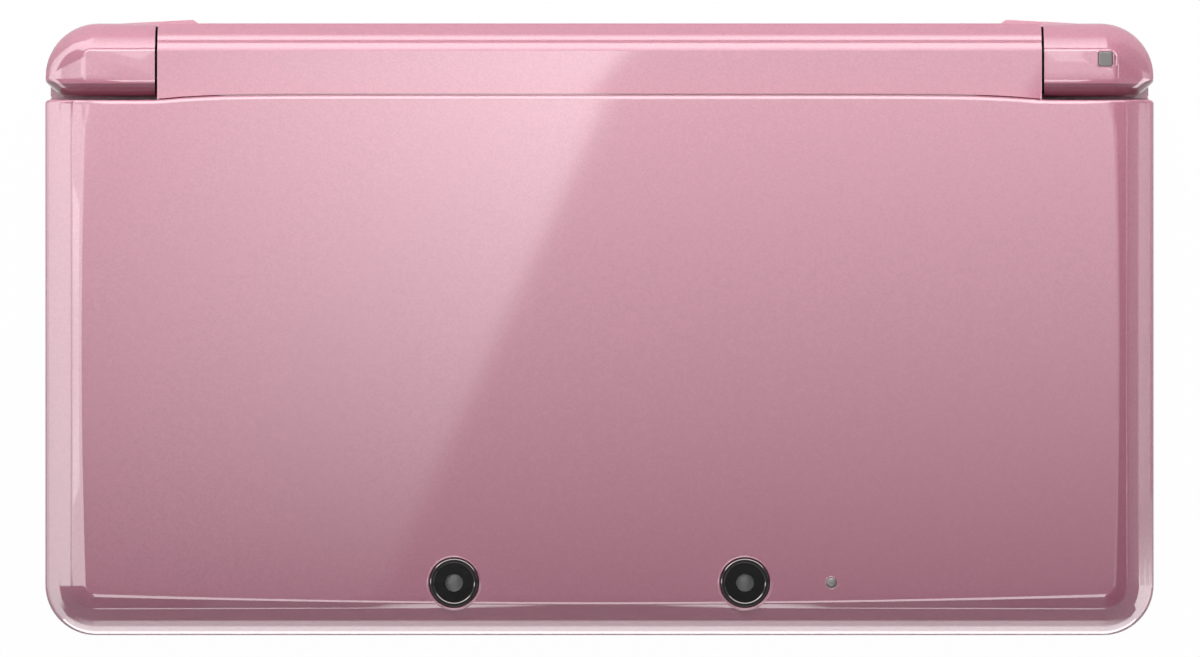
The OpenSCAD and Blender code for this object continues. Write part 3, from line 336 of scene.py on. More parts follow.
def roll(form, radius, least=0.0, steps=2):
    """Rolls edges longer than least over, as moulding and polishing leave them."""
    sharp = [e for e in form.edges if len(e.link_faces) == 2
             and e.calc_face_angle(0) > math.radians(25) and e.calc_length() > least * MM]
    if sharp:
        bmesh.ops.bevel(form, geom=sharp, offset=radius * MM, offset_type="OFFSET",
                        segments=steps, profile=0.5, affect="EDGES", clamp_overlap=True)
    return form


def band(form, near, far, closed=True):
    """Faces between two rows of points, joined round from end to start where closed."""
    for i in range(len(near) if closed else len(near) - 1):
        j = (i + 1) % len(near)
        form.faces.new((near[i], near[j], far[j], far[i]))


def turned(profile, centre, axis="Z", steps=72):
    """A turned form: profile is a list of (radius, height) around centre, with heights along the
    axis Z or X."""
    turn = Matrix.Rotation(math.radians(90), 3, "Y") if axis == "X" else Matrix.Identity(3)
    angles = [2 * math.pi * i / steps for i in range(steps)]
    form = bmesh.new()
    rings = []
    for radius, height in profile:
        # A ring on the axis is a single point
        spots = ([(radius * math.cos(a), radius * math.sin(a), height) for a in angles]
                 if radius > 0 else [(0, 0, height)])
        rings.append([form.verts.new(turn @ Vector(spot) * MM + centre) for spot in spots])
    for low, high in zip(rings, rings[1:]):
        for i in range(steps):
            j = (i + 1) % steps
            corners = [low[i % len(low)], low[j % len(low)], high[j % len(high)],
                       high[i % len(high)]]
            corners = list(dict.fromkeys(corners))
            if len(corners) > 2:
                form.faces.new(corners)
    return form


def ring_of(profile, centre, steps=96):
    """A turned ring from a closed profile of (radius, height)."""
    form = turned(profile + profile[:1], centre, steps=steps)
    bmesh.ops.remove_doubles(form, verts=form.verts, dist=1e-7)
    return form


def rod(radius, low, high, centre, axis="Z"):
    """A plain turned rod between two heights."""
    return turned([(0, low), (radius, low), (radius, high), (0, high)], centre, axis)


def down_from(top, profile):
    """A profile of (radius, depth below top) as one of (radius, height)."""
    return [(radius, top - depth) for radius, depth in profile]


def block(low, high, form=None):
    """A plain block between two corners, added to a form or new, for cutters and small parts."""
    form = form or bmesh.new()
    made = bmesh.ops.create_cube(form, size=1.0)
    for v in made["verts"]:
        v.co = Vector(((low[i] + high[i]) / 2 + v.co[i] * (high[i] - low[i])
                       for i in range(3))) * MM
    return form


def cut_away(thing, cutter_form):
    """Takes a cutter's room out of a piece."""
    bmesh.ops.recalc_face_normals(cutter_form, faces=cutter_form.faces)
    cutter = new_object("cutter", new_mesh("cutter", cutter_form))
    mesh = cutter.data
    rule = thing.modifiers.new("cut", "BOOLEAN")
    rule.operation = "DIFFERENCE"
    rule.solver = "EXACT"
    rule.object = cutter
    settle(thing)
    bpy.data.objects.remove(cutter)
    bpy.data.meshes.remove(mesh)


def eased(path, lengths):
    """A path of points with its corners eased over the given lengths, in four steps each."""
    out = [path[0]]
    for before, corner, after, reach in zip(path, path[1:], path[2:], lengths):
        b, c, a = Vector(before), Vector(corner), Vector(after)
        start = c + (b - c).normalized() * min(reach, (b - c).length * 0.49)
        end = c + (a - c).normalized() * min(reach, (a - c).length * 0.49)
        for i in range(5):
            t = i / 4
            out.append(tuple(start * (1 - t) ** 2 + c * 2 * t * (1 - t) + end * t ** 2))
    return out + [path[-1]]


def box_of(node):
    """Lowest and highest corner of a CAD piece."""
    return [Vector(corner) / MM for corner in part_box(node)]


lid_low, lid_high = box_of("lid_panel")
ring_low, ring_high = box_of("camera_ring_right")
cap_low, cap_high = box_of("hinge_cap_right")
# Half the width of the closed lid and the Y of its front and back edges
HALF, FRONT, BACK = lid_high.x, lid_low.y, lid_high.y
# A point on the hinge's axis, which runs along X
AXIS = Vector((0, 32.0, 14.8))

# Lid panel: the radii of its front and back corners, how far in from the edges, from the back and
# from the top its hollow starts, and the radius of the room that it leaves round the hinge's axis
CORNER, BACK_CORNER = 6.1, 0.45
EDGE_WALL, BACK_WALL, TOP_WALL = 6, 4, 1.4
KNUCKLE_ROOM = 5.4
# Half length and reach of the lip that the panel lays over the barrel, and how high it starts
LIP_HALF, LIP_REACH, LIP_LOW = 53.2, 0.6, 19.72

# Outer cameras: the middle of the right one, the top of their rings and their seat in the panel
CAMERA_X = (ring_low.x + ring_high.x) / 2
CAMERA_Y = (ring_low.y + ring_high.y) / 2
TOP = ring_high.z
CAMERA_SEAT = 3.15
BOARD_WALL = 0.6
# The small light beside the right camera
LIGHT_X, LIGHT_SEAT = 28.0, 0.8

# Knuckles: the heights of their flat and of their outer and back creases, how far the slopes reach
# in from the outside and the back, the rear corner's radius below and above, and the Y of the
# crease where their front turns down into the gap before the lid
KNUCKLE_TOP, KNUCKLE_SIDE, KNUCKLE_REAR = 19.5, 16.3, 15.6
SLOPE_SIDE, SLOPE_REAR = 5.0, 3.45
REAR_CORNER, REAR_CORNER_TOP = 6.4, 0.6
KNUCKLE_CREASE = 29.9


# Lid

def lip_reach(x):
    """How far the lip reaches over the barrel: most in the middle, nothing at the knuckles."""
    return LIP_REACH * (1 - min(abs(x) / LIP_HALF, 1.0) ** 10)


def arc(x, y, radius, start, steps):
    """Points of a quarter turn round (x, y) from an angle in degrees."""
    angles = [math.radians(start + 90 * i / steps) for i in range(steps + 1)]
    return [(x + radius * math.cos(a), y + radius * math.sin(a)) for a in angles]


def panel_plan(inset, height, bow, back_in, dip=0.0, lip=False):
    """The panel's outline at one height: set in on its sides and front, with bow sending the front
    crease forwards and half of it sending the side creases outwards, and dip taking the back edge
    down. With lip the back edge reaches over the barrel."""
    r, x, y = max(CORNER - inset, 0.9), HALF - inset, FRONT + inset
    rb, back = BACK_CORNER, BACK - back_in
    middle, reach = (y + r + back - rb) / 2, (back - rb - y - r) / 2
    points = arc(-x + r, y + r, r, 180, 16)
    for i in range(1, 24):
        t = -1 + 2 * i / 24
        points.append((t * (x - r), y - bow * (1 - t * t)))
    points += arc(x - r, y + r, r, 270, 16)
    for i in range(1, 16):
        t = -1 + 2 * i / 16
        points.append((x + bow / 2 * (1 - t * t), middle + t * reach))
    points += arc(x - rb, back - rb, rb, 0, 6)
    for i in range(1, 48):
        along = (1 - 2 * i / 48) * (x - rb)
        points.append((along, back + lip * lip_reach(along)))
    points += arc(-x + rb, back - rb, rb, 90, 6)
    for i in range(1, 16):
        t = 1 - 2 * i / 16
        points.append((-x - bow / 2 * (1 - t * t), middle + t * reach))
    return [Vector((p[0], p[1], height - (dip if p[1] > back - rb - 0.01 else 0.0))) * MM
            for p in points]


def make_lid_panel():
    """Lacquered outer cover of the lid: creases rolled up to a bowed flat, a thin lip over the
    barrel, and room for the inner pieces, the cameras, the light and the knuckles."""
    z0, z1 = lid_low.z, lid_high.z
    # Inset, height, bow and back roll of each crease from the seam up to the flat top
    creases = [(0.0, z0, 0, 0), (0.0, z0 + 0.5, 0, 0), (0.12, z0 + 0.86, 0, 0),
               (0.5, z0 + 1.22, 0, 0), (1.1, z0 + 1.72, 0, 0), (1.85, z1 - 1.35, 0, 0),
               (3.3, z1 - 0.32, 0, 0.05), (4.8, z1, 1.0, 0.2), (6.2, z1, 1.0, 0.6)]
    steps = eased(creases, [0.1, 0.1, 0.1, 0.15, 0.2, 0.25, 0.3])
    # The lip starts just above the flat of the barrel
    start = 0.06
    first = next(i for i, s in enumerate(steps) if s[1] > LIP_LOW + start)
    low, high = steps[first - 1], steps[first]
    for up in (start, 0.0):
        share = (LIP_LOW + up - low[1]) / (high[1] - low[1])
        steps.insert(first, tuple(a + (b - a) * share for a, b in zip(low, high)))
    # The back edge dips a little where it rolls over
    slices = [(*s, 0.09 if 0.1 < s[3] < 0.45 else 0.0, i > first) for i, s in enumerate(steps)]
    form = bmesh.new()
    rings = [[form.verts.new(p) for p in panel_plan(*s)] for s in slices]
    for low, high in zip(rings, rings[1:]):
        band(form, low, high)
    form.faces.new(rings[-1])
    form.faces.new(rings[0][::-1])
    panel = piece("lid_panel_lacquered", form, "lid", PEARL, "pearl_shell", "lid_panel")
    cut_away(panel, block((-HALF + EDGE_WALL, FRONT + EDGE_WALL, z0 - 1),
                          (HALF - EDGE_WALL, BACK - BACK_WALL, z1 - TOP_WALL)))
    for x, radius in ((-CAMERA_X, CAMERA_SEAT), (CAMERA_X, CAMERA_SEAT), (LIGHT_X, LIGHT_SEAT)):
        cut_away(panel, rod(radius, z0 - 1, z1 + 1, Vector((x, CAMERA_Y, 0)) * MM))
    # The knuckles' room runs outwards from a little inside their seams
    seam_gap, reach = 0.3, 8
    for side in (-1, 1):
        middle = Vector((side * (cap_low.x - seam_gap + reach), AXIS.y, AXIS.z)) * MM
        cut_away(panel, rod(KNUCKLE_ROOM, -reach, reach, middle, "X"))
    soften(panel)


def make_camera(side, word):
    """Painted lip, anodised ring with bright-cut edges, black-backed window and lens of one outer
    camera."""
    spot = Vector((side * CAMERA_X, CAMERA_Y, 0)) * MM
    window = "camera_window_" + word
    lip = down_from(TOP, [(2.98, 2.0), (2.98, 0.3), (3.0, 0.2), (3.06, 0.11), (3.14, 0.07),
                          (3.22, 0.09), (3.3, 0.16), (3.37, 0.3), (3.4, 0.9), (3.4, 2.0)])
    piece("camera_lip_" + word, ring_of(lip, spot), "lid", PEARL, "pearl_shell", crease=50)
    ring = down_from(TOP, [(2.38, 2.1), (2.94, 2.1), (2.94, 0.28), (2.9, 0.22), (2.88, 0.05),
                           (2.8, 0.01), (2.5, 0.01), (2.42, 0.05), (2.4, 0.2)])
    piece("camera_ring_" + word + "_anodised", ring_of(ring, spot), "lid", RING, "camera_ring",
          "camera_ring_" + word, crease=20)
    # Each bright-cut edge of the ring's crest is a narrow cone that catches a softbox as an arc
    for place, near, far in (("outer", 2.79, 2.89), ("inner", 2.51, 2.41)):
        cut = down_from(TOP, [(near, 0.03), (near, 0), (far, 0.038), (far, 0.07)])
        piece("camera_cut_" + place + "_" + word, ring_of(cut, spot), "lid", CHROME,
              "camera_ring", crease=20)
    back = down_from(TOP, [(1.08, 0.84), (2.38, 0.84), (2.38, 0.3), (1.1, 0.3), (1.08, 0.34)])
    piece(window + "_printed", ring_of(back, spot), "lid", PRINTED_GLASS, "camera_glass", window)
    clear = rod(1.08, TOP - 0.84, TOP - 0.36, spot)
    piece(window + "_clear", clear, "lid", GLASS, "camera_glass")
    lens = down_from(TOP, [(0, 1.6), (1.5, 1.6), (1.5, 1.3), (1.2, 1.12), (0.8, 1.0), (0.4, 0.94),
                           (0, 0.92)])
    piece("camera_lens_" + word, turned(lens, spot), "lid", LENS, "camera_glass")


def make_camera_board():
    """Board that carries both outer cameras and the inner one, with stepped lens barrels and
    chips."""
    low, high = box_of("camera_module")
    floor = box_of("speaker_left")[0].z + 1.0
    face = floor + BOARD_WALL
    board = roll(block((low.x, low.y, floor), (high.x, high.y, face)), 0.05)
    piece("camera_board", board, "lid", BOARD, "circuit_board", "camera_module")
    for side, word in ((-1, "left"), (1, "right")):
        barrel = [(1.0, face), (2.37, face), (2.37, floor + 3.2), (2.1, floor + 3.3),
                  (2.1, TOP - 1.7), (1.6, TOP - 1.6), (1.6, TOP - 0.92), (1.5, TOP - 0.9),
                  (1.5, TOP - 1.62), (1.0, TOP - 1.7)]
        spot = Vector((side * CAMERA_X, CAMERA_Y, 0)) * MM
        piece("camera_barrel_" + word, ring_of(barrel, spot, 72), "lid", INK_AND_SHADE, "circuit_board",
              crease=50)
        chip = block((side * 8 - 2.4, CAMERA_Y - 2, face - 0.05),
                     (side * 8 + 2.4, CAMERA_Y + 2, face + 0.9))
        piece("camera_chip_" + word, roll(chip, 0.15), "lid", CHIP, "circuit_board")
    spot = Vector((0, CAMERA_Y, 0)) * MM
    inner = [(0.9, floor), (2.1, floor), (2.1, low.z + 0.1), (2.0, low.z), (1.3, low.z),
             (0.9, low.z + 0.4)]
    piece("camera_barrel_inner", ring_of(inner, spot, 72), "lid", BLACK, "circuit_board",
          crease=50)
    bulb = [(0, low.z + 0.3), (0.4, low.z + 0.34), (0.9, low.z + 0.55), (0.9, low.z + 1.0),
            (0, low.z + 1.0)]
    piece("camera_lens_inner", turned(bulb, spot), "lid", LENS, "camera_glass")


def make_camera_light():
    """Domed end of the light guide beside the right camera, in a painted collar."""
    spot = Vector((LIGHT_X, CAMERA_Y, 0)) * MM
    top = lid_high.z
    pipe = down_from(top, [(0, 4.0), (0.62, 4.0), (0.62, 0.02), (0.5, -0.03), (0.3, -0.055),
                           (0, -0.06)])
    piece("camera_light_pipe", turned(pipe, spot, steps=48), "lid", GUIDE, "light_guide",
          "camera_light")
    collar = down_from(top, [(0.63, 1.2), (0.8, 1.2), (0.83, 0.02), (0.78, -0.04), (0.7, -0.06),
                             (0.65, -0.03)])
    piece("camera_light_collar", ring_of(collar, spot, 48), "lid", PEARL, "pearl_shell", crease=60)


# Hinge

def knuckle_ring(s, height):
    """One level of a knuckle's outer and back slope, from the front crease round the rear corner
    to the seam. s runs from 0 on the outline to 1 on the flat, and height is the share of the rise
    from the lower creases to the flat."""
    x_out, y_back = HALF - SLOPE_SIDE * s, cap_high.y - SLOPE_REAR * s
    radius = REAR_CORNER - (REAR_CORNER - REAR_CORNER_TOP) * s
    x_in, y_in = x_out - radius, y_back - radius
    side = KNUCKLE_SIDE + (KNUCKLE_TOP - KNUCKLE_SIDE) * height
    points = [(x_out, KNUCKLE_CREASE + (y_in - KNUCKLE_CREASE) * i / 4, side) for i in range(4)]
    for i in range(15):
        a = math.radians(90 * i / 14)
        low = KNUCKLE_SIDE - (KNUCKLE_SIDE - KNUCKLE_REAR) * (1 - math.cos(2 * a)) / 2
        points.append((x_in + radius * math.cos(a), y_in + radius * math.sin(a),
                       low + (KNUCKLE_TOP - low) * height))
    rear = KNUCKLE_REAR + (KNUCKLE_TOP - KNUCKLE_REAR) * height
    return points + [(x_in + (cap_low.x - x_in) * i / 3, y_back, rear) for i in range(1, 4)]


def make_knuckle(side, word, bore, depth):
    """End knuckle of the hinge: flat top with rolled creases, a back that curves down and round
    the rear corner into the outer slope, and a front that curves down into the gap before the
    lid. Its bore for the hinge starts at the seam."""
    # Share of the slope's reach and of its rise at each level
    levels = [(0.0, 0.0), (0.05, 0.1), (0.15, 0.24), (0.3, 0.42), (0.45, 0.57), (0.65, 0.74),
              (0.85, 0.89), (1.0, 1.0)]
    form = bmesh.new()

    def point(x, y, z):
        return form.verts.new(Vector((side * x, y, z)) * MM)

    rings = [[point(*p) for p in knuckle_ring(s, height)] for s, height in levels]
    foot = [point(x, y, cap_low.z) for x, y, _ in knuckle_ring(0.0, 0.0)]
    for low, high in zip([foot] + rings, rings):
        band(form, low, high, closed=False)
    # Front, column by column from the outer edge to the seam, in shares of its reach and in drops
    tops = [ring[0] for ring in rings] + [point(cap_low.x, KNUCKLE_CREASE, KNUCKLE_TOP)]
    falls = [(0.25, 0.1), (0.5, 0.32), (0.72, 0.68), (0.88, 1.15), (0.97, 1.75), (1.0, 2.5)]
    columns = []
    for top in tops:
        x, z = abs(top.co.x) / MM, top.co.z / MM
        # Over its outermost 2 mm the front draws back
        reach = KNUCKLE_CREASE - (cap_low.y + max(0.0, x - (HALF - 2.0)) * 0.85)
        column = [top] + [point(x, KNUCKLE_CREASE - reach * a, z - b) for a, b in falls]
        columns.append(column + [point(x, KNUCKLE_CREASE - reach, cap_low.z)])
    for one, two in zip(columns, columns[1:]):
        band(form, one, two, closed=False)
    form.faces.new(rings[-1] + [columns[-1][0]])
    form.faces.new((foot[0], rings[0][0], *columns[0][1:]))
    form.faces.new([ring[-1] for ring in rings] + columns[-1] + [foot[-1]])
    form.faces.new(foot + [column[-1] for column in columns[::-1]])
    # The creases above the lower edge of the slopes are rolled
    edges = [e for e in form.edges
             if len(e.link_faces) == 2 and e.calc_face_angle(0) > math.radians(20)
             and all(v.co.z > (KNUCKLE_REAR - 0.2) * MM for v in e.verts)]
    bmesh.ops.recalc_face_normals(form, faces=form.faces)
    bmesh.ops.bevel(form, geom=edges, offset=0.3 * MM, offset_type="OFFSET", segments=3,
                    profile=0.5, affect="EDGES", clamp_overlap=True)
    knuckle = piece("hinge_knuckle_" + word, form, "base", PEARL, "pearl_shell",
                    "hinge_cap_" + word, crease=40)
    room = rod(bore, -1, depth, Vector((cap_low.x, AXIS.y, AXIS.z)) * MM, "X")
    for v in room.verts:
        v.co.x *= side
    cut_away(knuckle, room)
    # The front faces down in the gap get the darker copy of the lacquer as painted shade
    knuckle.data.materials.append(PEARL_PAINTED_SHADE)
    for face in knuckle.data.polygons:
        if face.center.y < (KNUCKLE_CREASE - 0.12) * MM and face.normal.y < -0.25:
            face.material_index = 1
    if side > 0:
        cut_light_pocket(knuckle)
    soften(knuckle, 40)


def cut_light_pocket(knuckle):
    """Pocket for the notification light, with round corners."""
    low, high = box_of("notification_light")
    pocket = block((low.x - 0.01, low.y - 0.01, AXIS.z + 3),
                   (high.x + 0.01, high.y + 0.01, AXIS.z + 6))
    upright = [e for e in pocket.edges if abs(e.verts[0].co.z - e.verts[1].co.z) > 1e-4]
    bmesh.ops.bevel(pocket, geom=upright, offset=0.35 * MM, segments=4, profile=0.5,
                    affect="EDGES")
    cut_away(knuckle, pocket)


def make_light_rim():
    """Pale lacquered lip round the notification light, less than a tenth of a millimetre proud."""
    low, high = box_of("notification_light")
    centre, top = (low + high) / 2, KNUCKLE_TOP
    form = bmesh.new()
    rings = []
    # Half width, corner radius and height of each line of the lip, from the inside outwards
    for half, r, z in ((0.9, 0.35, top - 0.3), (0.9, 0.35, top + 0.02), (0.96, 0.4, top + 0.07),
                       (1.04, 0.46, top + 0.06), (1.1, 0.5, top - 0.02), (1.12, 0.5, top - 0.3)):
        ring = []
        for corner in range(4):
            for i in range(7):
                a = math.radians(90 * corner + 15 * i)
                x = (half - r) * (1 if corner in (0, 3) else -1) + r * math.cos(a)
                y = (half - r) * (1 if corner in (0, 1) else -1) + r * math.sin(a)
                ring.append(form.verts.new(Vector((centre.x + x, centre.y + y, z)) * MM))
        rings.append(ring)
    for near, far in zip(rings, rings[1:] + rings[:1]):
        band(form, near, far)
    piece("notification_light_rim", form, "base", PEARL, "pearl_shell", crease=60)


def make_seam_shade_sheet(side, word):
    """Black sheet in the seam between knuckle and barrel, set in a little from both, as painted
    shade in the gap.
    """
    form = bmesh.new()
    edge = [(28.3, 10.0), (28.3, 16.6), (30.0, 19.1), (33.2, 19.1), (35.3, 17.4), (36.3, 15.6),
            (36.3, 10.0)]
    sides = [[form.verts.new(Vector((side * x, y, z)) * MM) for y, z in edge]
             for x in (cap_low.x - 0.24, cap_low.x - 0.02)]
    for face in (sides[0], sides[1][::-1]):
        form.faces.new(face)
    band(form, *sides)
    seam_sheet = piece("hinge_seam_shade_" + word, form, "base", INK_AND_SHADE, "black_plastic")
    spot = Vector((side * (cap_low.x - 0.1), AXIS.y, AXIS.z)) * MM
    cut_away(seam_sheet, rod(3.6, -1, 1, spot, "X"))


# Moulded pieces

# Each CAD piece with its finish, material slot and the radius of its rolled edges
MOULDED = {
    "lid_frame": (PEARL, "pearl_shell", 0.3),
    "shoulder_left": (PEARL, "pearl_shell", 0.3),
    "shoulder_right": (PEARL, "pearl_shell", 0.3),
    "bottom_cover": (PEARL, "pearl_shell", 0.25),
    "lower_housing": (PEARL, "pearl_shell", 0.2),
    "card_door": (PEARL, "pearl_shell", 0.15),
    "control_faceplate": (FACEPLATE, "pearl_faceplate", 0.2),
    "screen_bezel": (BEZEL, "gloss_bezel", 0.2),
    "upper_display": (LCD, "display_panel", 0.1),
    "touch_lens": (TOUCH, "display_glass", 0.1),
    "touch_display": (LCD, "display_panel", 0.1),
    "speaker_left": (BLACK, "black_plastic", 0.2),
    "speaker_right": (BLACK, "black_plastic", 0.2),
    "bezel_bumpers": (RUBBER, "rubber_pad", 0.2),
    "lid_screws": (SCREW, "steel", 0.1),
    "base_screws": (SCREW, "steel", 0.1),
    "hinge_unit": (STEEL, "steel", 0.15),
    "hinge_shaft": (STEEL, "steel", 0.2),
    "hinge_bush": (BLACK, "black_plastic", 0.15),
    "hinge_flex": (FLEX, "flex_film", 0.03),
    "depth_slider": (BLACK, "black_plastic", 0.2),
    "notification_light": (GUIDE, "light_guide", 0.2),
    "power_lights": (GUIDE, "light_guide", 0.15),
    "battery": (CASE, "battery_case", 0.5),
    "main_board": (BOARD, "circuit_board", 0.05),
    "wireless_module": (STEEL, "steel", 0.15),
    "card_slot": (STEEL, "steel", 0.08),
    "sd_socket": (STEEL, "steel", 0.08),
    "charge_port": (BLACK, "black_plastic", 0.2),
    "headphone_jack": (BLACK, "black_plastic", 0.2),
    "ir_window": (INFRARED, "infrared_window", 0.25),
    "slide_pad_module": (BLACK, "black_plastic", 0.15),
    "slide_pad_carriage_x": (CARRIAGE, "carriage_plastic", 0.1),
    "slide_pad_carriage_y": (CARRIAGE, "carriage_plastic", 0.1),
    "slide_pad_cap": (SLIDE_CAP, "grey_control", 0.2),
    "dpad_pivot": (BLACK, "black_plastic", 0.1),
    "dpad": (BLACK, "black_plastic", 0.35),
    "dpad_membrane": (MEMBRANE, "rubber_pad", 0.1),
    "button_membrane": (MEMBRANE, "rubber_pad", 0.1),
    "face_button_right": (BUTTON, "white_button", 0.3),
    "face_button_bottom": (BUTTON, "white_button", 0.3),
    "face_button_top": (BUTTON, "white_button", 0.3),
    "face_button_left": (BUTTON, "white_button", 0.3),
    "select_key": (KEY, "key_plastic", 0.2),
    "home_key": (KEY, "key_plastic", 0.2),
    "start_key": (KEY, "key_plastic", 0.2),
    "power_key": (KEY, "key_plastic", 0.3),
    "volume_slider": (BLACK, "black_plastic", 0.2),
    "wireless_switch": (BLACK, "black_plastic", 0.2),
    "stylus_tip": (STYLUS_METAL, "steel", 0.15),
    "stylus_handle": (STYLUS, "stylus_plastic", 0.2),
}


def make_moulded_pieces():
    """Each piece that keeps its CAD form, with its edges rolled."""
    for node, (material, slot, radius) in MOULDED.items():
        # The lid frame has short edges along its barrel that stay as they are
        least, steps = (1.2, 3) if node == "lid_frame" else (0.0, 2)
        form = roll(form_of(node), radius, least, steps)
        piece(node + "_finished", form, frame["nodes"][node]["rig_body"], material, slot, node)


def finished(node):
    """The piece that shows a CAD piece with its edges rolled."""
    return bpy.data.objects[node + "_finished"]


def cut_seam():
    """Seam in the flat of the barrel, under and along the lip of the lid panel."""
    groove = ((-0.3, 19.3), (0.13, 19.3), (0.13, 20.2), (-0.3, 20.2))
    form = bmesh.new()
    rows = []
    for i in range(41):
        x = LIP_HALF * (i / 20 - 1)
        y = BACK + lip_reach(x)
        rows.append([form.verts.new(Vector((x, y + out, z)) * MM) for out, z in groove])
    for a, b in zip(rows, rows[1:]):
        for k in range(4):
            form.faces.new((a[k], b[k], b[(k + 1) % 4], a[(k + 1) % 4]))
    form.faces.new(rows[0])
    form.faces.new(rows[-1][::-1])
    cut_away(finished("lid_frame"), form)
    soften(finished("lid_frame"))


def loose_parts(node):
    """Lowest and highest corners of each separate part of a CAD piece."""
    form = form_of(node)
    left, parts = set(form.verts), []
    while left:
        reached, edge = set(), [next(iter(left))]
        while edge:
            v = edge.pop()
            if v not in reached:
                reached.add(v)
                edge += [e.other_vert(v) for e in v.link_edges]
        left -= reached
        parts.append([Vector(f(v.co[i] for v in reached) for i in range(3)) / MM
                      for f in (min, max)])
    form.free()
    return sorted(parts, key=lambda p: tuple(p[0]))


def cut_recesses(node):
    """Cross recesses in the heads of a set of screws, which all face down."""
    long, narrow = 0.8, 0.17
    screws = finished(node)
    for low, high in loose_parts(node):
        x, y = (low.x + high.x) / 2, (low.y + high.y) / 2
        for half_x, half_y in ((long, narrow), (narrow, long)):
            cut_away(screws, block((x - half_x, y - half_y, low.z - 0.2),
                                   (x + half_x, y + half_y, low.z + 0.4)))
    soften(screws)


def cut_ribs(node, y0, y1, z0, z1, face, count):
    """Grip grooves in the outer face of a slider's knob, which lies at face along X, reaches from
    y0 to y1 and rises from z0 to z1."""
    # The grooves are a quarter of a millimetre deep, and the cutters stand a little proud
    floor, clear, half = face * 0.996, math.copysign(0.02, face), 0.16
    for i in range(count):
        y = y0 + (y1 - y0) * (i + 1) / (count + 1)
        cut_away(finished(node), block((min(face, floor) + clear, y - half, z0 - 0.5),
                                       (max(face, floor) + clear, y + half, z1 + 0.5)))
    soften(finished(node))


def make_speaker_cloth(word):
    """Woven mesh let into the speaker's face, seen through the slots."""
    low, high = box_of("speaker_" + word)
    rim, edge, across, along = 0.8, 0.85, 31, 48
    speaker = finished("speaker_" + word)
    cut_away(speaker, block((low.x + rim, low.y + rim, low.z - 1),
                            (high.x - rim, high.y - rim, low.z + 0.5)))
    soften(speaker)
    # Threads 0.3 mm apart, drawn as a fine wave in the cloth itself
    form = bmesh.new()
    grid = [[form.verts.new(Vector((low.x + edge + (high.x - low.x - 2 * edge) * i / across,
                                    low.y + edge + (high.y - low.y - 2 * edge) * j / along,
                                    low.z + 0.25 + 0.06 * (-1) ** (i + j))) * MM)
             for j in range(along + 1)] for i in range(across + 1)]
    for i in range(across):
        for j in range(along):
            form.faces.new((grid[i][j], grid[i + 1][j], grid[i + 1][j + 1], grid[i][j + 1]))
    bmesh.ops.solidify(form, geom=form.faces, thickness=0.08 * MM)
    piece("speaker_cloth_" + word, form, "lid", SPEAKER_CLOTH, "black_plastic", crease=60)


def make_port_contacts():
    """Tongue and sprung contacts inside the charging port, a row of contacts at the mouth of the
    card slot, and the plated ring of the headphone socket."""
    low, high = box_of("charge_port")
    middle = (low.z + high.z) / 2
    tongue = block((low.x + 2.4, low.y + 0.9, middle - 0.05),
                   (high.x - 2.4, high.y - 1.0, middle + 0.75))
    piece("charge_port_tongue", roll(tongue, 0.15), "base", BLACK, "black_plastic")
    contacts = bmesh.new()
    for i in range(6):
        x = low.x + 3.35 + i * 1.06
        block((x - 0.3, low.y + 1.0, middle + 0.7), (x + 0.3, high.y - 1.25, middle + 0.85),
              contacts)
    piece("charge_port_contacts", contacts, "base", GOLD, "steel")
    low, high = box_of("card_slot")
    blades = bmesh.new()
    for i in range(17):
        x = -13.6 + i * 1.7
        block((x - 0.4, high.y - 9.0, high.z - 0.55), (x + 0.4, high.y - 3.0, high.z - 0.4),
              blades)
    piece("card_slot_contacts", blades, "base", GOLD, "steel")
    # The socket lies along Y, 5.2 mm up in the front edge
    ring = ring_of([(1.85, -36.74), (2.5, -36.74), (2.6, -36.7), (2.6, -36.6), (1.85, -36.6)],
                   Vector((0, 0, 0)))
    for v in ring.verts:
        v.co = Vector((v.co.x, v.co.z, v.co.y + 5.2 * MM))
    piece("headphone_jack_ring", ring, "base", STEEL, "steel")


# Studio: a tent of cards round the table, seen by gloss alone, with the object in its middle
TENT_HEIGHT, TENT_HALF = 1200, 800
CAMERA_AWAY = 1.6  # from the camera down to the lid, in metres
# Radiance of each wall by the share of its height, from the table up
WALL_LEVELS = {
    "left": [(0.0, 3.0), (0.1, 4.6), (0.25, 5.2), (0.31, 2.8), (0.4, 3.0), (0.76, 5.0),
             (0.88, 6.5)],
    "right": [(0.0, 0.6), (0.06, 1.8), (0.17, 2.4), (0.21, 0.4), (0.27, 0.1), (0.5, 0.1),
              (0.54, 4.5), (0.62, 4.5), (0.66, 0.1)],
    "front": [(0.0, 12.0), (0.05, 11.0), (0.12, 6.5), (0.17, 3.0), (0.2, 0.3), (0.34, 0.3),
              (0.37, 4.8), (0.5, 4.8), (0.56, 0.6), (1.0, 0.6)],
    "back": [(0.0, 1.5), (0.08, 3.5), (0.13, 5.4), (0.238, 5.4), (0.247, 1.1), (0.36, 0.3),
             (1.0, 0.2)],
}


def card(name, corners, material):
    """A flat card through four corners."""
    form = bmesh.new()
    form.faces.new([form.verts.new(Vector(c) * MM) for c in corners])
    thing = new_object(name, new_mesh(name, form))
    thing.data.materials.append(material)
    return thing


def reflector(name, corners, glow):
    """A softbox or flag that only gloss sees."""
    thing = card(name, corners, glow)
    thing.visible_camera = False
    thing.visible_diffuse = False
    thing.visible_shadow = False


def standing(start, end, height):
    """Corners of a card that stands on the table between two points."""
    return [(*start, 0), (*end, 0), (*end, height), (*start, height)]


def lying(low, high, z):
    """Corners of a level card between two points."""
    return [(low[0], low[1], z), (high[0], low[1], z), (high[0], high[1], z),
            (low[0], high[1], z)]


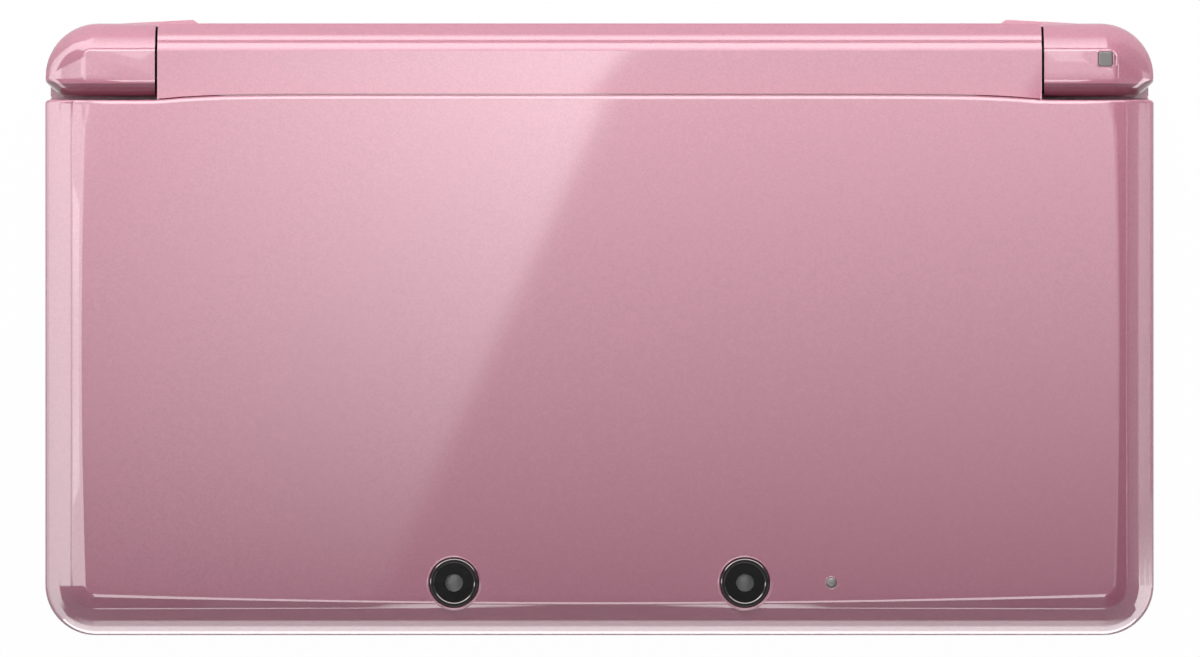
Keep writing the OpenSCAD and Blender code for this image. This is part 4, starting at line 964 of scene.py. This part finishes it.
def graded_glow(name, levels, across="X", middle=0.0, half=120.0, dim=0.5, rim=False):
    """Grey tent wall with a strip softbox. The strip lies within half of the middle of the wall
    and fades out over soft beside that, to the radiance dim. Its own radiance runs through levels,
    pairs of share and radiance, over the height of the tent. With rim the lowest 0.2 m glows like
    the strip over the full width."""
    soft = 25
    material = bpy.data.materials.new(name)
    tree = emptied(material)
    axes = add(tree, "SeparateXYZ", add(tree, "TexCoord").outputs["Object"])
    share = add(tree, "MapRange", axes.outputs["Z"], From_Min=0.0, From_Max=TENT_HEIGHT * MM)
    ramp = add(tree, "ValToRGB", share)
    most = max(level for _, level in levels)
    stops = ramp.color_ramp.elements
    while len(stops) < len(levels):
        stops.new(0.5)
    # All places come before the first colour, since stops that pass each other swap over
    for stop, (where, _) in zip(stops, levels):
        stop.position = where
    for stop, (_, level) in zip(stops, levels):
        stop.color = (level / most, level / most, level / most, 1.0)
    lit = add(tree, "Math", ramp, most, operation="MULTIPLY")
    off = add(tree, "Math", axes.outputs[across], middle * MM, operation="SUBTRACT")
    aside = add(tree, "Math", off, operation="ABSOLUTE")
    whole = add(tree, "MapRange", aside, From_Min=half * MM, From_Max=(half + soft) * MM,
                To_Min=1.0, To_Max=0.0)
    if rim:
        along = add(tree, "MapRange", axes.outputs["Z"], From_Min=0.19, From_Max=0.22, To_Min=1.0,
                    To_Max=0.0)
        whole = add(tree, "Math", whole, along, operation="MAXIMUM")
    level = add(tree, "Mix", data_type="FLOAT", Factor=whole, A=dim, B=lit)
    glow = add(tree, "Emission", Color=WHITE, Strength=level)
    add(tree, "OutputMaterial", Surface=glow)
    return material


def slanted_softbox(reach):
    """High softbox whose slanted edge shows in the lacquer from the hinge to the front. reach is
    how much larger the reflection is at its height than on the lid."""
    material = bpy.data.materials.new("slanted_softbox")
    tree = emptied(material)
    place = add(tree, "TexCoord").outputs["Object"]
    axes = add(tree, "SeparateXYZ", place)
    slant = add(tree, "VectorMath", place, (-0.9104 / reach, 0.4138 / reach, 0.0),
                operation="DOT_PRODUCT")
    left = add(tree, "Math", slant.outputs["Value"], 0.0108, operation="SUBTRACT")
    # Sharp at the slanted edge and fading out to its left, brighter towards the hinge
    edge = add(tree, "MapRange", left, From_Min=-0.001, From_Max=0.001)
    fade = add(tree, "MapRange", left, From_Min=0.0, From_Max=0.05, To_Min=1.0, To_Max=0.0)
    rise = add(tree, "MapRange", axes.outputs["Y"], From_Min=-0.032 * reach,
               From_Max=0.03 * reach, To_Min=0.3, To_Max=3.2)
    wedge = add(tree, "Math", edge, fade, operation="MULTIPLY")
    fall = add(tree, "MapRange", axes.outputs["Y"], From_Min=-0.036 * reach,
               From_Max=0.03 * reach, To_Min=0.4, To_Max=2.6)
    lit = add(tree, "Math", wedge, rise, fall, operation="MULTIPLY_ADD")
    # A flag on the right keeps the outer bevel there dark
    flag = add(tree, "MapRange", axes.outputs["X"], From_Min=0.15, From_Max=0.22, To_Min=1.0,
               To_Max=0.05)
    shown = add(tree, "Math", lit, flag, operation="MULTIPLY")
    glow = add(tree, "Emission", Color=WHITE, Strength=shown)
    add(tree, "OutputMaterial", Surface=glow)
    return material


def make_floor():
    """White paper a tenth of a millimetre under the object, pale to the camera and to gloss."""
    material = bpy.data.materials.new("paper_floor")
    tree = emptied(material)
    paper = add(tree, "BsdfDiffuse", Color=linear("#F6F6F6"))
    white = add(tree, "Emission", Color=WHITE, Strength=1.0)
    ray = add(tree, "LightPath")
    seen = add(tree, "Math", ray.outputs["Is Camera Ray"], ray.outputs["Is Glossy Ray"],
               operation="MAXIMUM")
    share = add(tree, "Math", seen, 0.985, operation="MULTIPLY")
    blend = add(tree, "MixShader", share, paper, white)
    add(tree, "OutputMaterial", Surface=blend)
    card("floor", lying((-4000, -4000), (4000, 4000), -0.1), material)


def make_world():
    """White room for the camera, gloss and glass, and soft light on the object that is stronger
    from the hinge's side than from the front."""
    world = bpy.data.worlds.new("studio_white")
    bpy.context.scene.world = world
    tree = emptied(world)
    ray = add(tree, "LightPath")
    seen = add(tree, "Math", ray.outputs["Is Camera Ray"], ray.outputs["Is Glossy Ray"],
               operation="MAXIMUM")
    through = add(tree, "Math", seen, ray.outputs["Is Transmission Ray"], operation="MAXIMUM")
    towards = add(tree, "SeparateXYZ", add(tree, "TexCoord").outputs["Generated"])
    soft = add(tree, "MapRange", towards.outputs["Y"], From_Min=-0.5, From_Max=0.7, To_Min=0.1,
               To_Max=0.45)
    level = add(tree, "Mix", data_type="FLOAT", Factor=through, A=soft, B=1.0)
    back = add(tree, "Background", Color=WHITE, Strength=level)
    add(tree, "OutputWorld", Surface=back)


def make_tent():
    """Softbox above, bright walls left and back, darker ones right and front, and level bands
    below the softbox that light the bevels."""
    height, far = TENT_HEIGHT, TENT_HALF
    reach = 1 + (height - TOP) * MM / CAMERA_AWAY
    reflector("softbox_above", lying((-far, -far), (far, far), height), slanted_softbox(reach))
    for name, low, high, level in (("front", (-125, -430), (125, -110), 5.0),
                                   ("back", (-125, 150), (125, 620), 4.0),
                                   ("left", (-far, -80), (-170, 90), 4.6),
                                   ("right", (170, -80), (520, 90), 1.2)):
        glow = graded_glow(name + "_band_glow", [(0.0, level)], half=2 * far)
        reflector("band_" + name, lying(low, high, height - 5), glow)
    for name, side in (("left", -far), ("right", far)):
        glow = graded_glow(name + "_wall_glow", WALL_LEVELS[name], across="Y", middle=5.0,
                           half=60.0, rim=name == "left")
        reflector("wall_" + name, standing((side, -far), (side, far), height), glow)
    for name, side in (("front", -far), ("back", far)):
        glow = graded_glow(name + "_wall_glow", WALL_LEVELS[name], rim=name == "front")
        reflector("wall_" + name, standing((-far, side), (far, side), height), glow)
    # Low cards past the left back corner and the right front corner, for those corners alone
    near = far - 1
    reflector("rim_back", standing((-far, near), (-100, near), 330),
              graded_glow("back_rim_glow", [(0.0, 4.2)], half=2 * far))
    reflector("rim_right", standing((near, -far), (near, -30), 210),
              graded_glow("right_rim_glow", [(0.0, 6.0)], across="Y", middle=-far,
                          half=far - 60.0, dim=2.0))


def make_lamp():
    """Broad lamp behind the hinge, aimed at the middle of the table."""
    light = bpy.data.lights.new("back_lamp", "AREA")
    light.shape = "RECTANGLE"
    light.size, light.size_y = 0.7, 0.3
    light.energy = 2.65
    lamp = new_object("back_lamp", light)
    spot, target = Vector((0.0, 0.3, 0.46)), Vector((0.0, 0.0, 0.0))
    lamp.location = spot
    lamp.rotation_euler = (target - spot).to_track_quat("-Z", "Y").to_euler()


def make_camera_view():
    """Camera straight above the lid, a hair off its middle as in the photo. The picture is 1200 px
    wide and shows 8.29 px per mm at the lid's top."""
    sensor = 36.0
    shown = 1200 / 8.29 * MM
    lens = bpy.data.cameras.new("camera")
    lens.sensor_width = sensor
    lens.lens = sensor * CAMERA_AWAY / shown
    lens.clip_end = 20.0
    view = new_object("camera", lens)
    view.location = (0.00006, -0.00022, CAMERA_AWAY + TOP * MM)
    bpy.context.scene.camera = view


make_lid_panel()
make_knuckle(-1, "left", 3.5, 6.3)
make_knuckle(1, "right", 2.0, 6.5)
make_light_rim()
make_seam_shade_sheet(-1, "left")
make_seam_shade_sheet(1, "right")
make_camera(-1, "left")
make_camera(1, "right")
make_camera_board()
make_camera_light()
make_moulded_pieces()
cut_seam()
cut_recesses("lid_screws")
cut_recesses("base_screws")
cut_ribs("volume_slider", -22.5, -17.5, 5.2, 6.9, -67.0, 4)
cut_ribs("wireless_switch", -24.8, -21.0, 5.2, 6.9, 67.0, 3)
cut_ribs("depth_slider", -7.9, -2.9, 14.3, 16.3, 66.9, 4)
make_speaker_cloth("left")
make_speaker_cloth("right")
make_port_contacts()
make_floor()
make_world()
make_tent()
make_lamp()
make_camera_view()
bpy.context.scene.view_settings.view_transform = "Standard"
